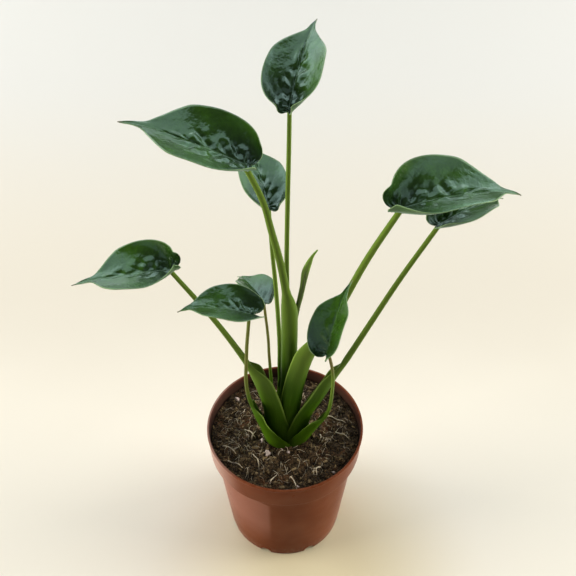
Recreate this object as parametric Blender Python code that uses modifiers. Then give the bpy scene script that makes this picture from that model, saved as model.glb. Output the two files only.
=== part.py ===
"""A small potted alocasia: nine heart-shaped leaves on sheathed stalks, a rolled new leaf, soil and a pot.

Metres, +Z up. The origin is the centre of the pot's foot, which stands on z = 0. +Y points to the plant's
back. Leaf sizes are given in millimetres and degrees, and turned into metres where they are used.
"""
import math

import bmesh
import bpy
from mathutils import Matrix, Vector

MM = 0.001
GAP = 0.0003
ROUND_STEPS = 48
MERGE_DISTANCE = 0.00005

# The pot, a 12 cm nursery pot
POT_HEIGHT = 0.112
RIM_RADIUS = 0.060
COLLAR_HEIGHT = 0.020
COLLAR_FOOT_RADIUS = 0.0586
COLLAR_UNDERCUT = 0.0012
BODY_TOP_RADIUS = 0.0552
FOOT_RADIUS = 0.0463
LIP_WIDTH = 0.0018
LIP_HEIGHT = 0.0018
LIP_ROUNDING = 0.0003
WALL = 0.0012
FLOOR = 0.0015
INNER_STEP_HEIGHT = 0.091
INNER_STEP_FALL = 0.002
FOOT_BEVEL = 0.0008
NOTCH_COUNT = 8
NOTCH_RADIUS = 0.0044
NOTCH_INNER = 0.038
NOTCH_OUTER = 0.0503
NOTCH_SIDES = 16
NOTCH_TURN = math.radians(-110)

# The soil: the waves of its lumps are (share, waves along X per metre, waves along Y per metre, start)
SOIL_EDGE = 0.1020
SOIL_CROWN = 0.1035
SOIL_GAP = 0.0004
SOIL_RINGS = 8
SOIL_EDGE_FADE = 0.006
SOIL_LUMP = 0.0009
SOIL_WAVES = [(0.6, 310, 270, 0.7), (0.5, 300, -290, 1.9), (0.7, 520, -410, 0.4), (0.6, 350, 640, 3.7)]
CLUMP_X = 0.001
HOLE_RADIUS = 0.0179

# The buried corm
CORM_TOP = 0.094
CORM_RADIUS = 0.0155
CORM_EDGE = 0.001
CORM_SIDE = 0.007
CORM_HEIGHT = 0.024
CORM_RINGS = 5

# The stalks
STALK_HALF_POINTS = 9
SHEATH_SECTIONS = 5
MOUTH_SECTIONS = 4
PETIOLE_SECTIONS = 6
SHEATH_EDGE = 0.0007
AIM_STEP = 0.004
CAP_TURNS = (math.radians(35), math.radians(70))

# The rolled leaf
SPIKE_SIDES = 10
SPIKE_SECTIONS_PER_SPAN = 3
SPIKE_FLATTENING = 0.8

# The blades. Each is a grid that runs from the notch to the tip and from margin to margin. Its rows fan round
# the basal lobes over the first share of the grid, and then cross the midrib one after another. Ahead of
# RIBBED_FROM each half is bent up across the midrib, and behind RIBBED_TO like the wall of a funnel.
BLADE_THICKNESS = 0.0008
LARGE_GRID = (16, 4)
SMALL_GRID = (13, 3)
SINUS = 0.04
FAN_SHARE = 0.33
LADDER_POWER = 1.6
ARCH_END = 0.8
TAIL_START = 0.7
TIP_FLATTENING = 0.55
TIP_FLATTENING_POWER = 1.5
RIBBED_FROM = 0.45
RIBBED_TO = 0.10
FUNNEL_START = math.radians(45)
FUNNEL_END = math.radians(145)

# Each leaf's blade: its attachment point, the compass heading of its midrib (0 is +X, 90 is +Y), its pitch
# and roll, its flat length and width, and how it is bent. fold: rise of each half at the midrib; cup: further
# rise per half width; lobe: further curl of the basal lobes; arch and tail: droop of the midrib and of the
# tip; side: sideways sweep; twist: turn about the midrib; skew: share by which the left half is cupped more;
# drip: share of the length that the drawn-out tip takes; ear: how far the basal lobes reach back.
BLADES = {
    "top": dict(at=(2.9, 25, 364), heading=72, pitch=47, roll=-2, length=58, width=38.5, fold=16, cup=35,
                lobe=145, arch=15, tail=16, side=-4, twist=-3, skew=0.02, drip=0.19, ear=0.79),
    "large_left": dict(at=(-21.4, 0, 342), heading=170, pitch=21, roll=-17, length=75.5, width=46.5, fold=12,
                       cup=34, lobe=112, arch=6, tail=21, side=2, twist=8, skew=-0.11, drip=0.23, ear=0.54),
    "back": dict(at=(-10, 36, 289.7), heading=109, pitch=34, roll=-1, length=53.5, width=33.5, fold=11,
                 cup=29, lobe=122, arch=15, tail=16, side=-6, twist=12, skew=0.06, drip=0.21, ear=0.77),
    "middle_left": dict(at=(-69.9, -10, 274.5), heading=186, pitch=-3, roll=-17, length=61, width=38, fold=14,
                        cup=40, lobe=138, arch=5, tail=10, side=2, twist=19, skew=-0.07, drip=0.24, ear=0.86),
    "lower_left": dict(at=(-20.8, -28, 254.4), heading=184, pitch=23, roll=-6, length=45, width=32, fold=12,
                       cup=36, lobe=65, arch=19, tail=30, side=10, twist=16, skew=-0.11, drip=0.19, ear=0.96),
    "small_back": dict(at=(-14.7, 28, 213.5), heading=118, pitch=5, roll=4, length=41.5, width=29, fold=14,
                       cup=37, lobe=97, arch=16, tail=25, side=6, twist=3, skew=0.14, drip=0.20, ear=0.86),
    "large_right": dict(at=(65.9, -12, 320.8), heading=10, pitch=12, roll=17, length=74.5, width=49,
                        fold=17, cup=48, lobe=122, arch=15, tail=24, side=-7, twist=-19, skew=0.08,
                        drip=0.20, ear=0.80),
    "second_right": dict(at=(91.2, -4, 304), heading=32, pitch=10, roll=9, length=56, width=36.5, fold=13,
                         cup=44, lobe=86, arch=15, tail=28, side=2, twist=-15, skew=0.07, drip=0.21,
                         ear=0.68),
    "small_front": dict(at=(26.2, -41, 234.6), heading=65, pitch=66, roll=-21, length=47.5, width=28.5,
                        fold=16, cup=39, lobe=105, arch=15, tail=22, side=-1, twist=0, skew=0.03, drip=0.23,
                        ear=0.57),
}
LARGE_BLADES = ("large_left", "large_right")

# Each stalk: the side that its sheath's back faces, the sheath's radius at its foot, half the angle that the
# sheath wraps round, its wall, the share by which it narrows, the height of its mouth, the height at which it
# has closed into the round stalk, the stalk's radius there and under the blade, and points of its axis.
STALKS = {
    "top": dict(
        faces=90, wrap=3.4, half_angle=75, wall=1.1, slims=0.2, mouth=130, closed=150, neck=1.9, tip=1.3,
        route=[(1.9, 0.9, 150), (2.0, 1.1, 200), (1.9, 2.5, 222), (1.6, 5, 248), (1.5, 9, 270),
               (2.1, 14, 309), (2.8, 20, 339)]),
    "large_left": dict(
        faces=250, wrap=5.8, half_angle=112, wall=1.3, slims=0.04, mouth=226, closed=256, neck=2.6, tip=1.7,
        route=[(1.4, -3.0, 150), (2.1, -3.2, 195), (2.3, -3.2, 222), (1.7, -3.2, 241), (0.5, -3.1, 254),
               (-2.6, -2.6, 274), (-7.6, -1.8, 297), (-12.4, -0.9, 318)]),
    "back": dict(
        faces=110, wrap=7.6, half_angle=72, wall=1.1, slims=0.3, mouth=130, closed=160, neck=1.7, tip=1.3,
        route=[(-2.4, 6.8, 130), (-3.6, 7.4, 165), (-3.7, 9.5, 194), (-5.8, 17, 234), (-8.2, 25, 262)]),
    "large_right": dict(
        faces=-55, wrap=9.2, half_angle=92, wall=1.5, slims=0.15, mouth=198, closed=240, neck=2.5, tip=1.8,
        route=[(5.4, -6.2, 122), (7.2, -8, 144), (9.2, -10.2, 165), (12.8, -12.3, 187), (18.5, -13.8, 208),
               (31.3, -15, 238), (49.1, -13.5, 284)]),
    "middle_left": dict(
        faces=205, wrap=11.4, half_angle=98, wall=1.5, slims=0.15, mouth=168, closed=195, neck=2.3, tip=1.4,
        route=[(-9.3, -4.2, 106), (-11.8, -5.2, 124), (-14, -6.6, 143), (-18.5, -8.2, 165),
               (-24.5, -9, 186), (-33, -9.3, 206), (-47.5, -9.7, 235)]),
    "second_right": dict(
        faces=-25, wrap=13.4, half_angle=80, wall=1.5, slims=0.3, mouth=165, closed=192, neck=2.2, tip=1.5,
        route=[(13.2, -5.3, 112), (18, -6, 132), (26.2, -6.2, 151), (34.2, -6, 171), (43.7, -5.5, 192),
               (56, -5, 222), (72.5, -4.5, 262)]),
    "lower_left": dict(
        faces=204, wrap=15.2, half_angle=56, wall=1.3, slims=0.3, mouth=145, closed=154, neck=1.4, tip=1.1,
        route=[(-12.6, -7, 103), (-16.5, -10.6, 121), (-20.1, -13, 135), (-23.5, -15, 152),
               (-25.7, -16.8, 166), (-26.4, -19.5, 184), (-25.4, -22.5, 203), (-23.9, -25.5, 225)]),
    "small_front": dict(
        faces=-41, wrap=15.0, half_angle=56, wall=1.3, slims=0.3, mouth=133, closed=141, neck=1.3, tip=1.0,
        route=[(13.6, -8.9, 103), (19.6, -11.5, 118), (25.2, -13.5, 130), (29.9, -16, 142),
               (32.1, -19, 157), (32.6, -23, 176), (32.3, -27, 193), (30.8, -31, 209)]),
    "small_back": dict(
        faces=115, wrap=15.2, half_angle=30, wall=1.3, slims=0.3, mouth=128, closed=140, neck=1.2, tip=1.0,
        route=[(-9, 10.5, 120), (-10.4, 12, 151), (-11.5, 16, 171), (-12.2, 20, 188)]),
}

# The rolled new leaf: radius and axis points from its foot to its tip, in millimetres
SPIKE = [(0.9, (4.2, -0.6, 94.3)), (1.0, (5.1, -0.7, 150)), (1.1, (6.0, 0.4, 200)), (1.5, (7.3, 2.2, 219)),
         (1.9, (8.7, 3, 231)), (2.3, (10.3, 3.2, 240)), (2.2, (11.8, 3.2, 250)), (2.3, (13.4, 3.2, 261)),
         (2.0, (15.2, 3.2, 268)), (1.2, (17.5, 3.2, 274)), (0.5, (20.6, 3.2, 279))]

POT_COLOUR = (0.30, 0.10, 0.052)
SOIL_COLOUR = (0.045, 0.027, 0.018)
CORM_COLOUR = (0.16, 0.11, 0.06)
STALK_COLOUR = (0.11, 0.19, 0.035)
BLADE_COLOUR = (0.035, 0.10, 0.045)
SPIKE_COLOUR = (0.15, 0.22, 0.04)


def clear_scene():
    for item in list(bpy.data.objects):
        bpy.data.objects.remove(item, do_unlink=True)


def collection(name):
    found = bpy.data.collections.new(name)
    bpy.context.scene.collection.children.link(found)
    return found


def material(name, colour, roughness):
    made = bpy.data.materials.new(name)
    made.use_nodes = True
    shader = made.node_tree.nodes["Principled BSDF"]
    shader.inputs["Base Color"].default_value = (*colour, 1)
    shader.inputs["Roughness"].default_value = roughness
    shader.inputs["Metallic"].default_value = 0
    return made


def add_object(name, mesh, group, finish=None):
    item = bpy.data.objects.new(name, mesh)
    group.objects.link(item)
    if finish:
        mesh.materials.append(finish)
    return item


def smooth_step(value):
    value = min(max(value, 0), 1)
    return value * value * (3 - 2 * value)


def curve_point(points, share):
    """A point at a share of the way along a smooth curve that passes through the points."""
    ends = [2 * points[0] - points[1], *points, 2 * points[-1] - points[-2]]
    spans = len(points) - 1
    span = min(int(share * spans), spans - 1)
    t = share * spans - span
    a, b, c, d = ends[span:span + 4]
    squared = 2 * a - 5 * b + 4 * c - d
    cubed = 3 * b - a - 3 * c + d
    return 0.5 * (2 * b + (c - a) * t + squared * t ** 2 + cubed * t ** 3)


def turned(name, profile, group, finish):
    """A body turned about Z from a profile of (radius, height) that ends down its outer side."""
    mesh = bpy.data.meshes.new(name)
    edges = [(k, k + 1) for k in range(len(profile) - 1)]
    mesh.from_pydata([(radius, 0, height) for radius, height in profile], edges, [])
    item = add_object(name, mesh, group, finish)
    screw = item.modifiers.new("turn", "SCREW")
    screw.steps = ROUND_STEPS
    screw.render_steps = ROUND_STEPS
    screw.use_merge_vertices = True
    screw.merge_threshold = MERGE_DISTANCE
    screw.use_smooth_shade = True
    return item


def pot_wall_radius(height):
    """Outer radius of the pot's tapered body below the collar."""
    return FOOT_RADIUS + (BODY_TOP_RADIUS - FOOT_RADIUS) * height / (POT_HEIGHT - COLLAR_HEIGHT)


def notch_cutter(group):
    """Round bars that cut the drainage notches through the foot of the wall."""
    mesh = bpy.data.meshes.new("drain_notches")
    build = bmesh.new()
    length = NOTCH_OUTER - NOTCH_INNER
    for k in range(NOTCH_COUNT):
        turn = Matrix.Rotation(NOTCH_TURN + k * math.tau / NOTCH_COUNT, 4, "Z")
        lying = Matrix.Translation((NOTCH_INNER + length / 2, 0, 0)) @ Matrix.Rotation(math.pi / 2, 4, "Y")
        bmesh.ops.create_cone(build, cap_ends=True, segments=NOTCH_SIDES, radius1=NOTCH_RADIUS,
                              radius2=NOTCH_RADIUS, depth=length, matrix=turn @ lying)
    build.to_mesh(mesh)
    build.free()
    cutter = add_object("drain_notches", mesh, group)
    cutter.hide_render = True
    cutter.display_type = "WIRE"
    return cutter


def make_pot(group, cutters):
    """A thin moulded pot: tapered body, collar with a small lip, flat floor and drainage notches."""
    collar_foot = POT_HEIGHT - COLLAR_HEIGHT
    body_top = collar_foot - COLLAR_UNDERCUT
    step_foot = INNER_STEP_HEIGHT - INNER_STEP_FALL
    lip_inside = RIM_RADIUS - LIP_WIDTH
    lip_foot = POT_HEIGHT - LIP_HEIGHT
    profile = [
        (0, FLOOR),
        (pot_wall_radius(FLOOR) - WALL, FLOOR),
        (pot_wall_radius(step_foot) - WALL, step_foot),
        (COLLAR_FOOT_RADIUS - WALL, INNER_STEP_HEIGHT),
        (lip_inside + LIP_ROUNDING, lip_foot - LIP_ROUNDING),
        (lip_inside, lip_foot),
        (lip_inside, POT_HEIGHT - LIP_ROUNDING),
        (lip_inside + LIP_ROUNDING, POT_HEIGHT),
        (RIM_RADIUS - LIP_ROUNDING, POT_HEIGHT),
        (RIM_RADIUS, POT_HEIGHT - LIP_ROUNDING),
        (RIM_RADIUS, lip_foot),
        (COLLAR_FOOT_RADIUS, collar_foot),
        (pot_wall_radius(body_top), body_top),
        (pot_wall_radius(FOOT_BEVEL), FOOT_BEVEL),
        (FOOT_RADIUS - FOOT_BEVEL, 0),
        (0, 0),
    ]
    pot = turned("pot", profile, group, material("terracotta_plastic", POT_COLOUR, 0.42))
    notches = pot.modifiers.new("drain notches", "BOOLEAN")
    notches.operation = "DIFFERENCE"
    notches.object = notch_cutter(cutters)
    return pot


def soil_relief(x, y):
    """Gentle lumps of the potting mix."""
    return SOIL_LUMP * sum(share * math.sin(along_x * x + along_y * y + start)
                           for share, along_x, along_y, start in SOIL_WAVES)


def make_soil(group):
    """The potting mix: it fills the pot and leaves a plain round hole for the corm and the stalks' feet."""
    step_foot = INNER_STEP_HEIGHT - INNER_STEP_FALL
    collar_radius = COLLAR_FOOT_RADIUS - WALL - SOIL_GAP
    hole_floor = CORM_TOP - CORM_HEIGHT - GAP
    profile = [(0, hole_floor), (HOLE_RADIUS, hole_floor), (HOLE_RADIUS, SOIL_CROWN)]
    for k in range(1, SOIL_RINGS + 1):
        share = k / SOIL_RINGS
        fall = (SOIL_CROWN - SOIL_EDGE) * share * share
        profile.append((HOLE_RADIUS + (collar_radius - HOLE_RADIUS) * share, SOIL_CROWN - fall))
    profile += [
        (collar_radius, INNER_STEP_HEIGHT + GAP),
        (pot_wall_radius(step_foot) - WALL - SOIL_GAP, step_foot + GAP),
        (pot_wall_radius(FLOOR) - WALL - SOIL_GAP, FLOOR + GAP),
        (0, FLOOR + GAP),
    ]
    soil = turned("soil", profile, group, material("potting_mix", SOIL_COLOUR, 0.95))
    bpy.context.view_layer.update()
    settled = bpy.data.meshes.new_from_object(soil.evaluated_get(bpy.context.evaluated_depsgraph_get()))
    soil.modifiers.clear()
    soil.data = settled
    for point in settled.vertices:
        radius = math.hypot(point.co.x, point.co.y)
        if point.co.z > SOIL_EDGE - GAP:
            fade = smooth_step((collar_radius - radius) / SOIL_EDGE_FADE)
            point.co.z += soil_relief(point.co.x, point.co.y) * fade
        if radius < HOLE_RADIUS + MERGE_DISTANCE:
            point.co.x += CLUMP_X
    return soil


def make_corm(group):
    """The short thick stem under the soil that every stalk stands on."""
    dome = CORM_HEIGHT - CORM_EDGE - CORM_SIDE
    profile = [(0, CORM_TOP), (CORM_RADIUS - CORM_EDGE, CORM_TOP), (CORM_RADIUS, CORM_TOP - CORM_EDGE)]
    for k in range(CORM_RINGS):
        angle = k * math.pi / 2 / CORM_RINGS
        height = CORM_TOP - CORM_HEIGHT + dome * (1 - math.sin(angle))
        profile.append((CORM_RADIUS * math.cos(angle), height))
    profile.append((0, CORM_TOP - CORM_HEIGHT))
    corm = turned("corm", profile, group, material("corm_skin", CORM_COLOUR, 0.85))
    corm.location.x = CLUMP_X
    return corm


def blade_outline(drip, ear):
    """The flat blade's left margin from the notch to the tip: shares of its length and of half its width."""
    body = 1 - drip
    shoulder = 0.48
    taper = body - shoulder
    points = [(-SINUS, 0), (-0.16 * ear, 0.12), (-0.21 * ear, 0.33), (-0.15 * ear, 0.60), (0.05, 0.85),
              (0.31, 1), (0.50, 0.93), (shoulder + 0.44 * taper, 0.72), (shoulder + 0.82 * taper, 0.36),
              (body + 0.02, 0.14), (body + 0.5 * drip, 0.05), (1, 0)]
    return [Vector(point) for point in points]


def bent(length, first, more):
    """Reach and rise of a line of some length whose slope starts at first and grows by more per metre."""
    if abs(more * length) < 0.00001:
        return length * math.cos(first), length * math.sin(first)
    last = first + more * length
    return (math.sin(last) - math.sin(first)) / more, (math.cos(first) - math.cos(last)) / more


def midrib_frame(shape, share):
    """Forward, left and up directions at a share of the midrib, before the blade is turned to its place."""
    tail = max(0, (share - TAIL_START) / (1 - TAIL_START))
    droop = -shape["arch"] * min(share / ARCH_END, 1) - shape["tail"] * tail
    pitch = math.radians(droop)
    yaw = math.radians(shape["side"] * share * share)
    roll = math.radians(shape["twist"] * share)
    ahead = Vector((math.cos(pitch) * math.cos(yaw), math.cos(pitch) * math.sin(yaw), math.sin(pitch)))
    left = Vector((-math.sin(yaw), math.cos(yaw), 0))
    up = ahead.cross(left)
    return ahead, left * math.cos(roll) + up * math.sin(roll), up * math.cos(roll) - left * math.sin(roll)


def midrib_points(shape, steps=48):
    """The midrib's curve as points at even shares of its length."""
    length = shape["length"] * MM
    points = [Vector((0, 0, 0))]
    for k in range(steps):
        points.append(points[-1] + midrib_frame(shape, (k + 0.5) / steps)[0] * length / steps)
    return points


def along(points, share):
    spot = min(max(share, 0), 1) * (len(points) - 1)
    k = min(int(spot), len(points) - 2)
    return points[k].lerp(points[k + 1], spot - k)


def blade_point(shape, outline, midrib, row, across):
    """A point of the blade: row runs from the notch to the tip, across from the right margin to the left."""
    length = shape["length"] * MM
    half_width = shape["width"] * MM / 2
    margin = curve_point(outline, row)
    if row < FAN_SHARE:
        start = -SINUS * length * (1 - row / FAN_SHARE)
    else:
        start = length * ((row - FAN_SHARE) / (1 - FAN_SHARE)) ** LADDER_POWER
    x = min(start + (margin.x * length - start) * abs(across), length)
    y = max(margin.y, 0) * half_width * abs(across)
    side = math.copysign(1, across)

    fold = math.radians(shape["fold"])
    cup = math.radians(shape["cup"]) * (1 + side * shape["skew"]) / half_width
    share = max(x, 0) / length
    fade = 1 - TIP_FLATTENING * share ** TIP_FLATTENING_POWER
    ahead, left, up = midrib_frame(shape, share)
    reach, rise = bent(y, fold * fade, cup * fade)
    ribbed = along(midrib, share) + ahead * min(x, 0) + left * reach * side + up * rise

    angle = math.atan2(y, x)
    lobe = math.radians(shape["lobe"]) / half_width
    lobe *= smooth_step((angle - FUNNEL_START) / (FUNNEL_END - FUNNEL_START))
    reach, rise = bent(math.hypot(x, y), fold * math.sin(angle), cup * math.sin(angle) ** 2 + lobe)
    funnel = Vector((reach * math.cos(angle), reach * math.sin(angle) * side, rise))
    return ribbed.lerp(funnel, smooth_step((RIBBED_FROM - x / length) / (RIBBED_FROM - RIBBED_TO)))


def blade_turn(shape):
    """The rotation that sets a blade to its heading, pitch and roll, as columns ahead, left and up."""
    heading, pitch, roll = (math.radians(shape[key]) for key in ("heading", "pitch", "roll"))
    level = Vector((math.cos(heading), math.sin(heading), 0))
    ahead = level * math.cos(pitch) + Vector((0, 0, math.sin(pitch)))
    left = Vector((-math.sin(heading), math.cos(heading), 0))
    up = ahead.cross(left)
    rolled = left * math.cos(roll) + up * math.sin(roll)
    return Matrix((ahead, rolled, ahead.cross(rolled))).transposed()


def make_blade(name, shape, group, finish):
    """A cupped, waved heart-shaped sheet of even thickness, its underside below the modelled surface."""
    rows, columns = LARGE_GRID if name in LARGE_BLADES else SMALL_GRID
    outline = blade_outline(shape["drip"], shape["ear"])
    midrib = midrib_points(shape)
    turn = blade_turn(shape)
    at = Vector(shape["at"]) * MM
    build = bmesh.new()
    bmesh.ops.create_grid(build, x_segments=2 * columns, y_segments=rows, size=1)
    for corner in build.verts:
        row = min(max((corner.co.y + 1) / 2, 0), 1)
        corner.co = turn @ blade_point(shape, outline, midrib, row, corner.co.x) + at
    bmesh.ops.remove_doubles(build, verts=build.verts, dist=MERGE_DISTANCE)
    bmesh.ops.triangulate(build, faces=build.faces)
    bmesh.ops.recalc_face_normals(build, faces=build.faces)
    nearest = min(build.faces, key=lambda face: (face.calc_center_median() - at).length)
    if nearest.normal.dot(turn.col[2]) < 0:
        bmesh.ops.reverse_faces(build, faces=build.faces)
    mesh = bpy.data.meshes.new(f"blade_{name}")
    build.to_mesh(mesh)
    build.free()
    mesh.shade_smooth()
    blade = add_object(f"blade_{name}", mesh, group, finish)
    skin = blade.modifiers.new("thickness", "SOLIDIFY")
    skin.thickness = BLADE_THICKNESS
    skin.offset = -1
    return blade


def stalk_section(place, across, wrap, half_angle, wall, radius, closed):
    """One section of a stalk: an open sheath that turns into a round stalk as closed goes from 0 to 1."""
    count = STALK_HALF_POINTS
    ring = []
    back = wrap - radius
    for side in (1, -1):
        for k in range(count):
            share = 2 * k / (count - 1) - 1
            angle = side * share * half_angle
            depth = 0
            if side < 0:
                depth = SHEATH_EDGE + (wall - SHEATH_EDGE) * math.cos(share * math.pi / 2) ** 2
            sheath = ((wrap - depth) * math.cos(angle) - back, (wrap - depth) * math.sin(angle))
            step = math.pi / count
            turn = (k + 0.5) * step - math.pi / 2 + (0 if side > 0 else math.pi)
            stalk = (radius * math.cos(turn), radius * math.sin(turn))
            out, sideways = (a + (b - a) * closed for a, b in zip(sheath, stalk))
            ring.append(place + across[0] * out + across[1] * sideways)
    return ring


def loft(name, rings, group, finish):
    """A closed body through rings of points, with the first and the last ring closed across."""
    build = bmesh.new()
    lines = [[build.verts.new(point) for point in ring] for ring in rings]
    count = len(rings[0])
    for lower, upper in zip(lines, lines[1:]):
        for k in range(count):
            after = (k + 1) % count
            build.faces.new((lower[k], lower[after], upper[after], upper[k]))
    for line, flip in ((lines[0], True), (lines[-1], False)):
        for k in range(count // 2 - 1):
            cap = [line[k], line[k + 1], line[count - 2 - k], line[count - 1 - k]]
            build.faces.new(reversed(cap) if flip else cap)
    bmesh.ops.recalc_face_normals(build, faces=build.faces)
    mesh = bpy.data.meshes.new(name)
    build.to_mesh(mesh)
    build.free()
    mesh.shade_smooth()
    return add_object(name, mesh, group, finish)


def stalk_axis(name, stalk):
    """The points of a stalk's axis in metres, from its foot on the corm to just under its blade."""
    shape = BLADES[name]
    faces = math.radians(stalk["faces"])
    inset = (stalk["wrap"] - stalk["neck"]) * MM
    foot = Vector((CLUMP_X + inset * math.cos(faces), inset * math.sin(faces), CORM_TOP + GAP))
    under = blade_turn(shape).col[2] * (BLADE_THICKNESS + GAP + stalk["tip"] * MM)
    end = Vector(shape["at"]) * MM - under
    return [foot, *(Vector(point) * MM for point in stalk["route"]), end]


def direction(axis, share):
    """The direction of an axis at a share of the way along it; at its foot it stands upright."""
    if share == 0:
        return Vector((0, 0, 1))
    ahead = curve_point(axis, min(share + AIM_STEP, 1))
    return (ahead - curve_point(axis, max(share - AIM_STEP, 0))).normalized()


def share_at_height(axis, height):
    """The share of the way along an axis at which it passes a height."""
    low, high = 0, 1
    for _ in range(24):
        middle = (low + high) / 2
        if curve_point(axis, middle).z < height:
            low = middle
        else:
            high = middle
    return low


def section_shares(mouth, closed):
    """Where a stalk's sections stand: along its sheath, through its mouth, and up the round stalk."""
    shares = [mouth * k / SHEATH_SECTIONS for k in range(SHEATH_SECTIONS)]
    shares += [mouth + (closed - mouth) * k / MOUTH_SECTIONS for k in range(MOUTH_SECTIONS)]
    return shares + [closed + (1 - closed) * k / PETIOLE_SECTIONS for k in range(PETIOLE_SECTIONS + 1)]


def make_stalk(name, stalk, group, finish):
    """A leaf's stalk: a sheath that wraps the younger stalks at its foot and closes into a round stalk."""
    axis = stalk_axis(name, stalk)
    facing = Vector((math.cos(math.radians(stalk["faces"])), math.sin(math.radians(stalk["faces"])), 0))
    foot, mouth, neck = axis[0].z, stalk["mouth"] * MM, stalk["closed"] * MM
    mouth_share, closed_share = (share_at_height(axis, height) for height in (mouth, neck))
    rings = []
    for share in section_shares(mouth_share, closed_share):
        place = curve_point(axis, share)
        tangent = direction(axis, share)
        out = (facing - tangent * facing.dot(tangent)).normalized()
        across = (out, tangent.cross(out))
        closed = smooth_step((share - mouth_share) / (closed_share - mouth_share))
        slim = max(0, (share - closed_share) / (1 - closed_share))
        radius = (stalk["neck"] + (stalk["tip"] - stalk["neck"]) * slim) * MM
        wrap = stalk["wrap"] * MM * (1 - stalk["slims"] * min((place.z - foot) / (mouth - foot), 1))
        half_angle = math.radians(stalk["half_angle"])
        rings.append(stalk_section(place, across, wrap, half_angle, stalk["wall"] * MM, radius, closed))
    top = rings[-1]
    for turn in CAP_TURNS:
        rise = tangent * stalk["tip"] * MM * math.sin(turn)
        rings.append([place + (point - place) * math.cos(turn) + rise for point in top])
    return loft(f"stalk_{name}", rings, group, finish)


def make_spike(group, finish):
    """The new leaf, still rolled into a slim twisted cigar with a drawn-out tip."""
    points = [Vector(point) * MM for _, point in SPIKE]
    radii = [radius * MM for radius, _ in SPIKE]
    steps = SPIKE_SECTIONS_PER_SPAN * (len(SPIKE) - 1)
    rings = []
    for k in range(steps + 1):
        share = k / steps
        place = curve_point(points, share)
        tangent = direction(points, share)
        side = Vector((0, 1, 0)).cross(tangent).normalized()
        front = tangent.cross(side) * SPIKE_FLATTENING
        radius = curve_point([Vector((value, 0)) for value in radii], share).x
        turns = [(j + 0.5) * math.tau / SPIKE_SIDES for j in range(SPIKE_SIDES)]
        rings.append([place + (side * math.cos(turn) + front * math.sin(turn)) * radius for turn in turns])
    return loft("rolled_new_leaf", rings, group, finish)


def main():
    clear_scene()
    plant = collection("potted_alocasia")
    cutters = collection("cutters")
    make_pot(plant, cutters)
    make_soil(plant)
    make_corm(plant)
    stalk_finish = material("green_stalk", STALK_COLOUR, 0.45)
    blade_finish = material("glossy_leaf", BLADE_COLOUR, 0.3)
    for name, stalk in STALKS.items():
        make_stalk(name, stalk, plant, stalk_finish)
    for name, shape in BLADES.items():
        make_blade(name, shape, plant, blade_finish)
    make_spike(plant, material("young_leaf", SPIKE_COLOUR, 0.4))


main()
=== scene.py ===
"""The looks of a small potted alocasia, modelled round its solid frame and laid out as an add-on.

Everything is in metres in the frame's own axes: +Z up, the pot's foot on z = 0, +Y the plant's back. The
leaves' places and sizes are given in millimetres and degrees.
"""

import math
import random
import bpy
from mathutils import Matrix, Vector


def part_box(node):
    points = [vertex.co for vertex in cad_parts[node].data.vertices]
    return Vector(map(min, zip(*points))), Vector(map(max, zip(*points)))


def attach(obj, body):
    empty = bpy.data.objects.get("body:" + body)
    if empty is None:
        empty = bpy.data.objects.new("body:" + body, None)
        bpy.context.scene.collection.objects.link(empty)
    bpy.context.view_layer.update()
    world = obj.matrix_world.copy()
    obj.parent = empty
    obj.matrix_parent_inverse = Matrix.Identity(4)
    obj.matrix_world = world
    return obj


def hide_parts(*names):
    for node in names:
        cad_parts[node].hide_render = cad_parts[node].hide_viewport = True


bl_info = {
    "name": "Potted alocasia",
    "version": (1, 0, 0),
    "blender": (4, 5, 0),
    "location": "View3D > Sidebar > Alocasia",
    "description": "Models a potted alocasia: pot, potting mix, sheathed stalks, blades and studio",
    "category": "Object",
}

import bpy
import numpy as np
from bpy.props import FloatProperty, FloatVectorProperty, IntProperty, PointerProperty
from bpy.types import Operator, Panel, PropertyGroup
from mathutils import Euler, Matrix, Vector, noise

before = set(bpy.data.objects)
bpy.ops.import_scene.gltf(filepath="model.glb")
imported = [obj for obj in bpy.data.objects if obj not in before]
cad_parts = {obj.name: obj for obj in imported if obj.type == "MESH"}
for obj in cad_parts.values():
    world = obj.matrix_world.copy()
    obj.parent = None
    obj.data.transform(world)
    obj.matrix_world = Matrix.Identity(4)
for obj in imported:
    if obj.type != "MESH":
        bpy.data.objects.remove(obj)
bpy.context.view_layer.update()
POT_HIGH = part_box("pot")[1]

MM = 0.001
MERGE_DISTANCE = 0.00002
FIBRE_MERGE_DISTANCE = 0.000005
TINY = 1e-12
ROUNDING_SHARE = 0.45

# The pot
POT_STEPS = 144
COLLAR_FOOT_RADIUS = 0.0586
COLLAR_UNDERCUT = 0.0012
BODY_TOP_RADIUS = 0.0552
FOOT_RADIUS = 0.0463
LIP_WIDTH = 0.0018
LIP_HEIGHT = 0.0018
LIP_DRAFT = 0.0004
LIP_EDGE = 0.0003
INNER_STEP_HEIGHT = 0.091
INNER_STEP_FALL = 0.002
POT_FLOOR = 0.0015
FOOT_RECESS_RADIUS = 0.034
FOOT_RECESS = 0.0007
POT_ROUNDING = 0.0004
POT_CREASE = math.radians(40)
BODY_RINGS = 8
NOTCH_COUNT = 8
NOTCH_RADIUS = 0.0044
NOTCH_INNER = 0.038
NOTCH_OUTER = 0.0503
NOTCH_TURN = math.radians(-110)
NOTCH_BAR_POINTS = 32
POT_WAVE = 0.00012
POT_WAVE_SIZE = 0.035

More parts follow.
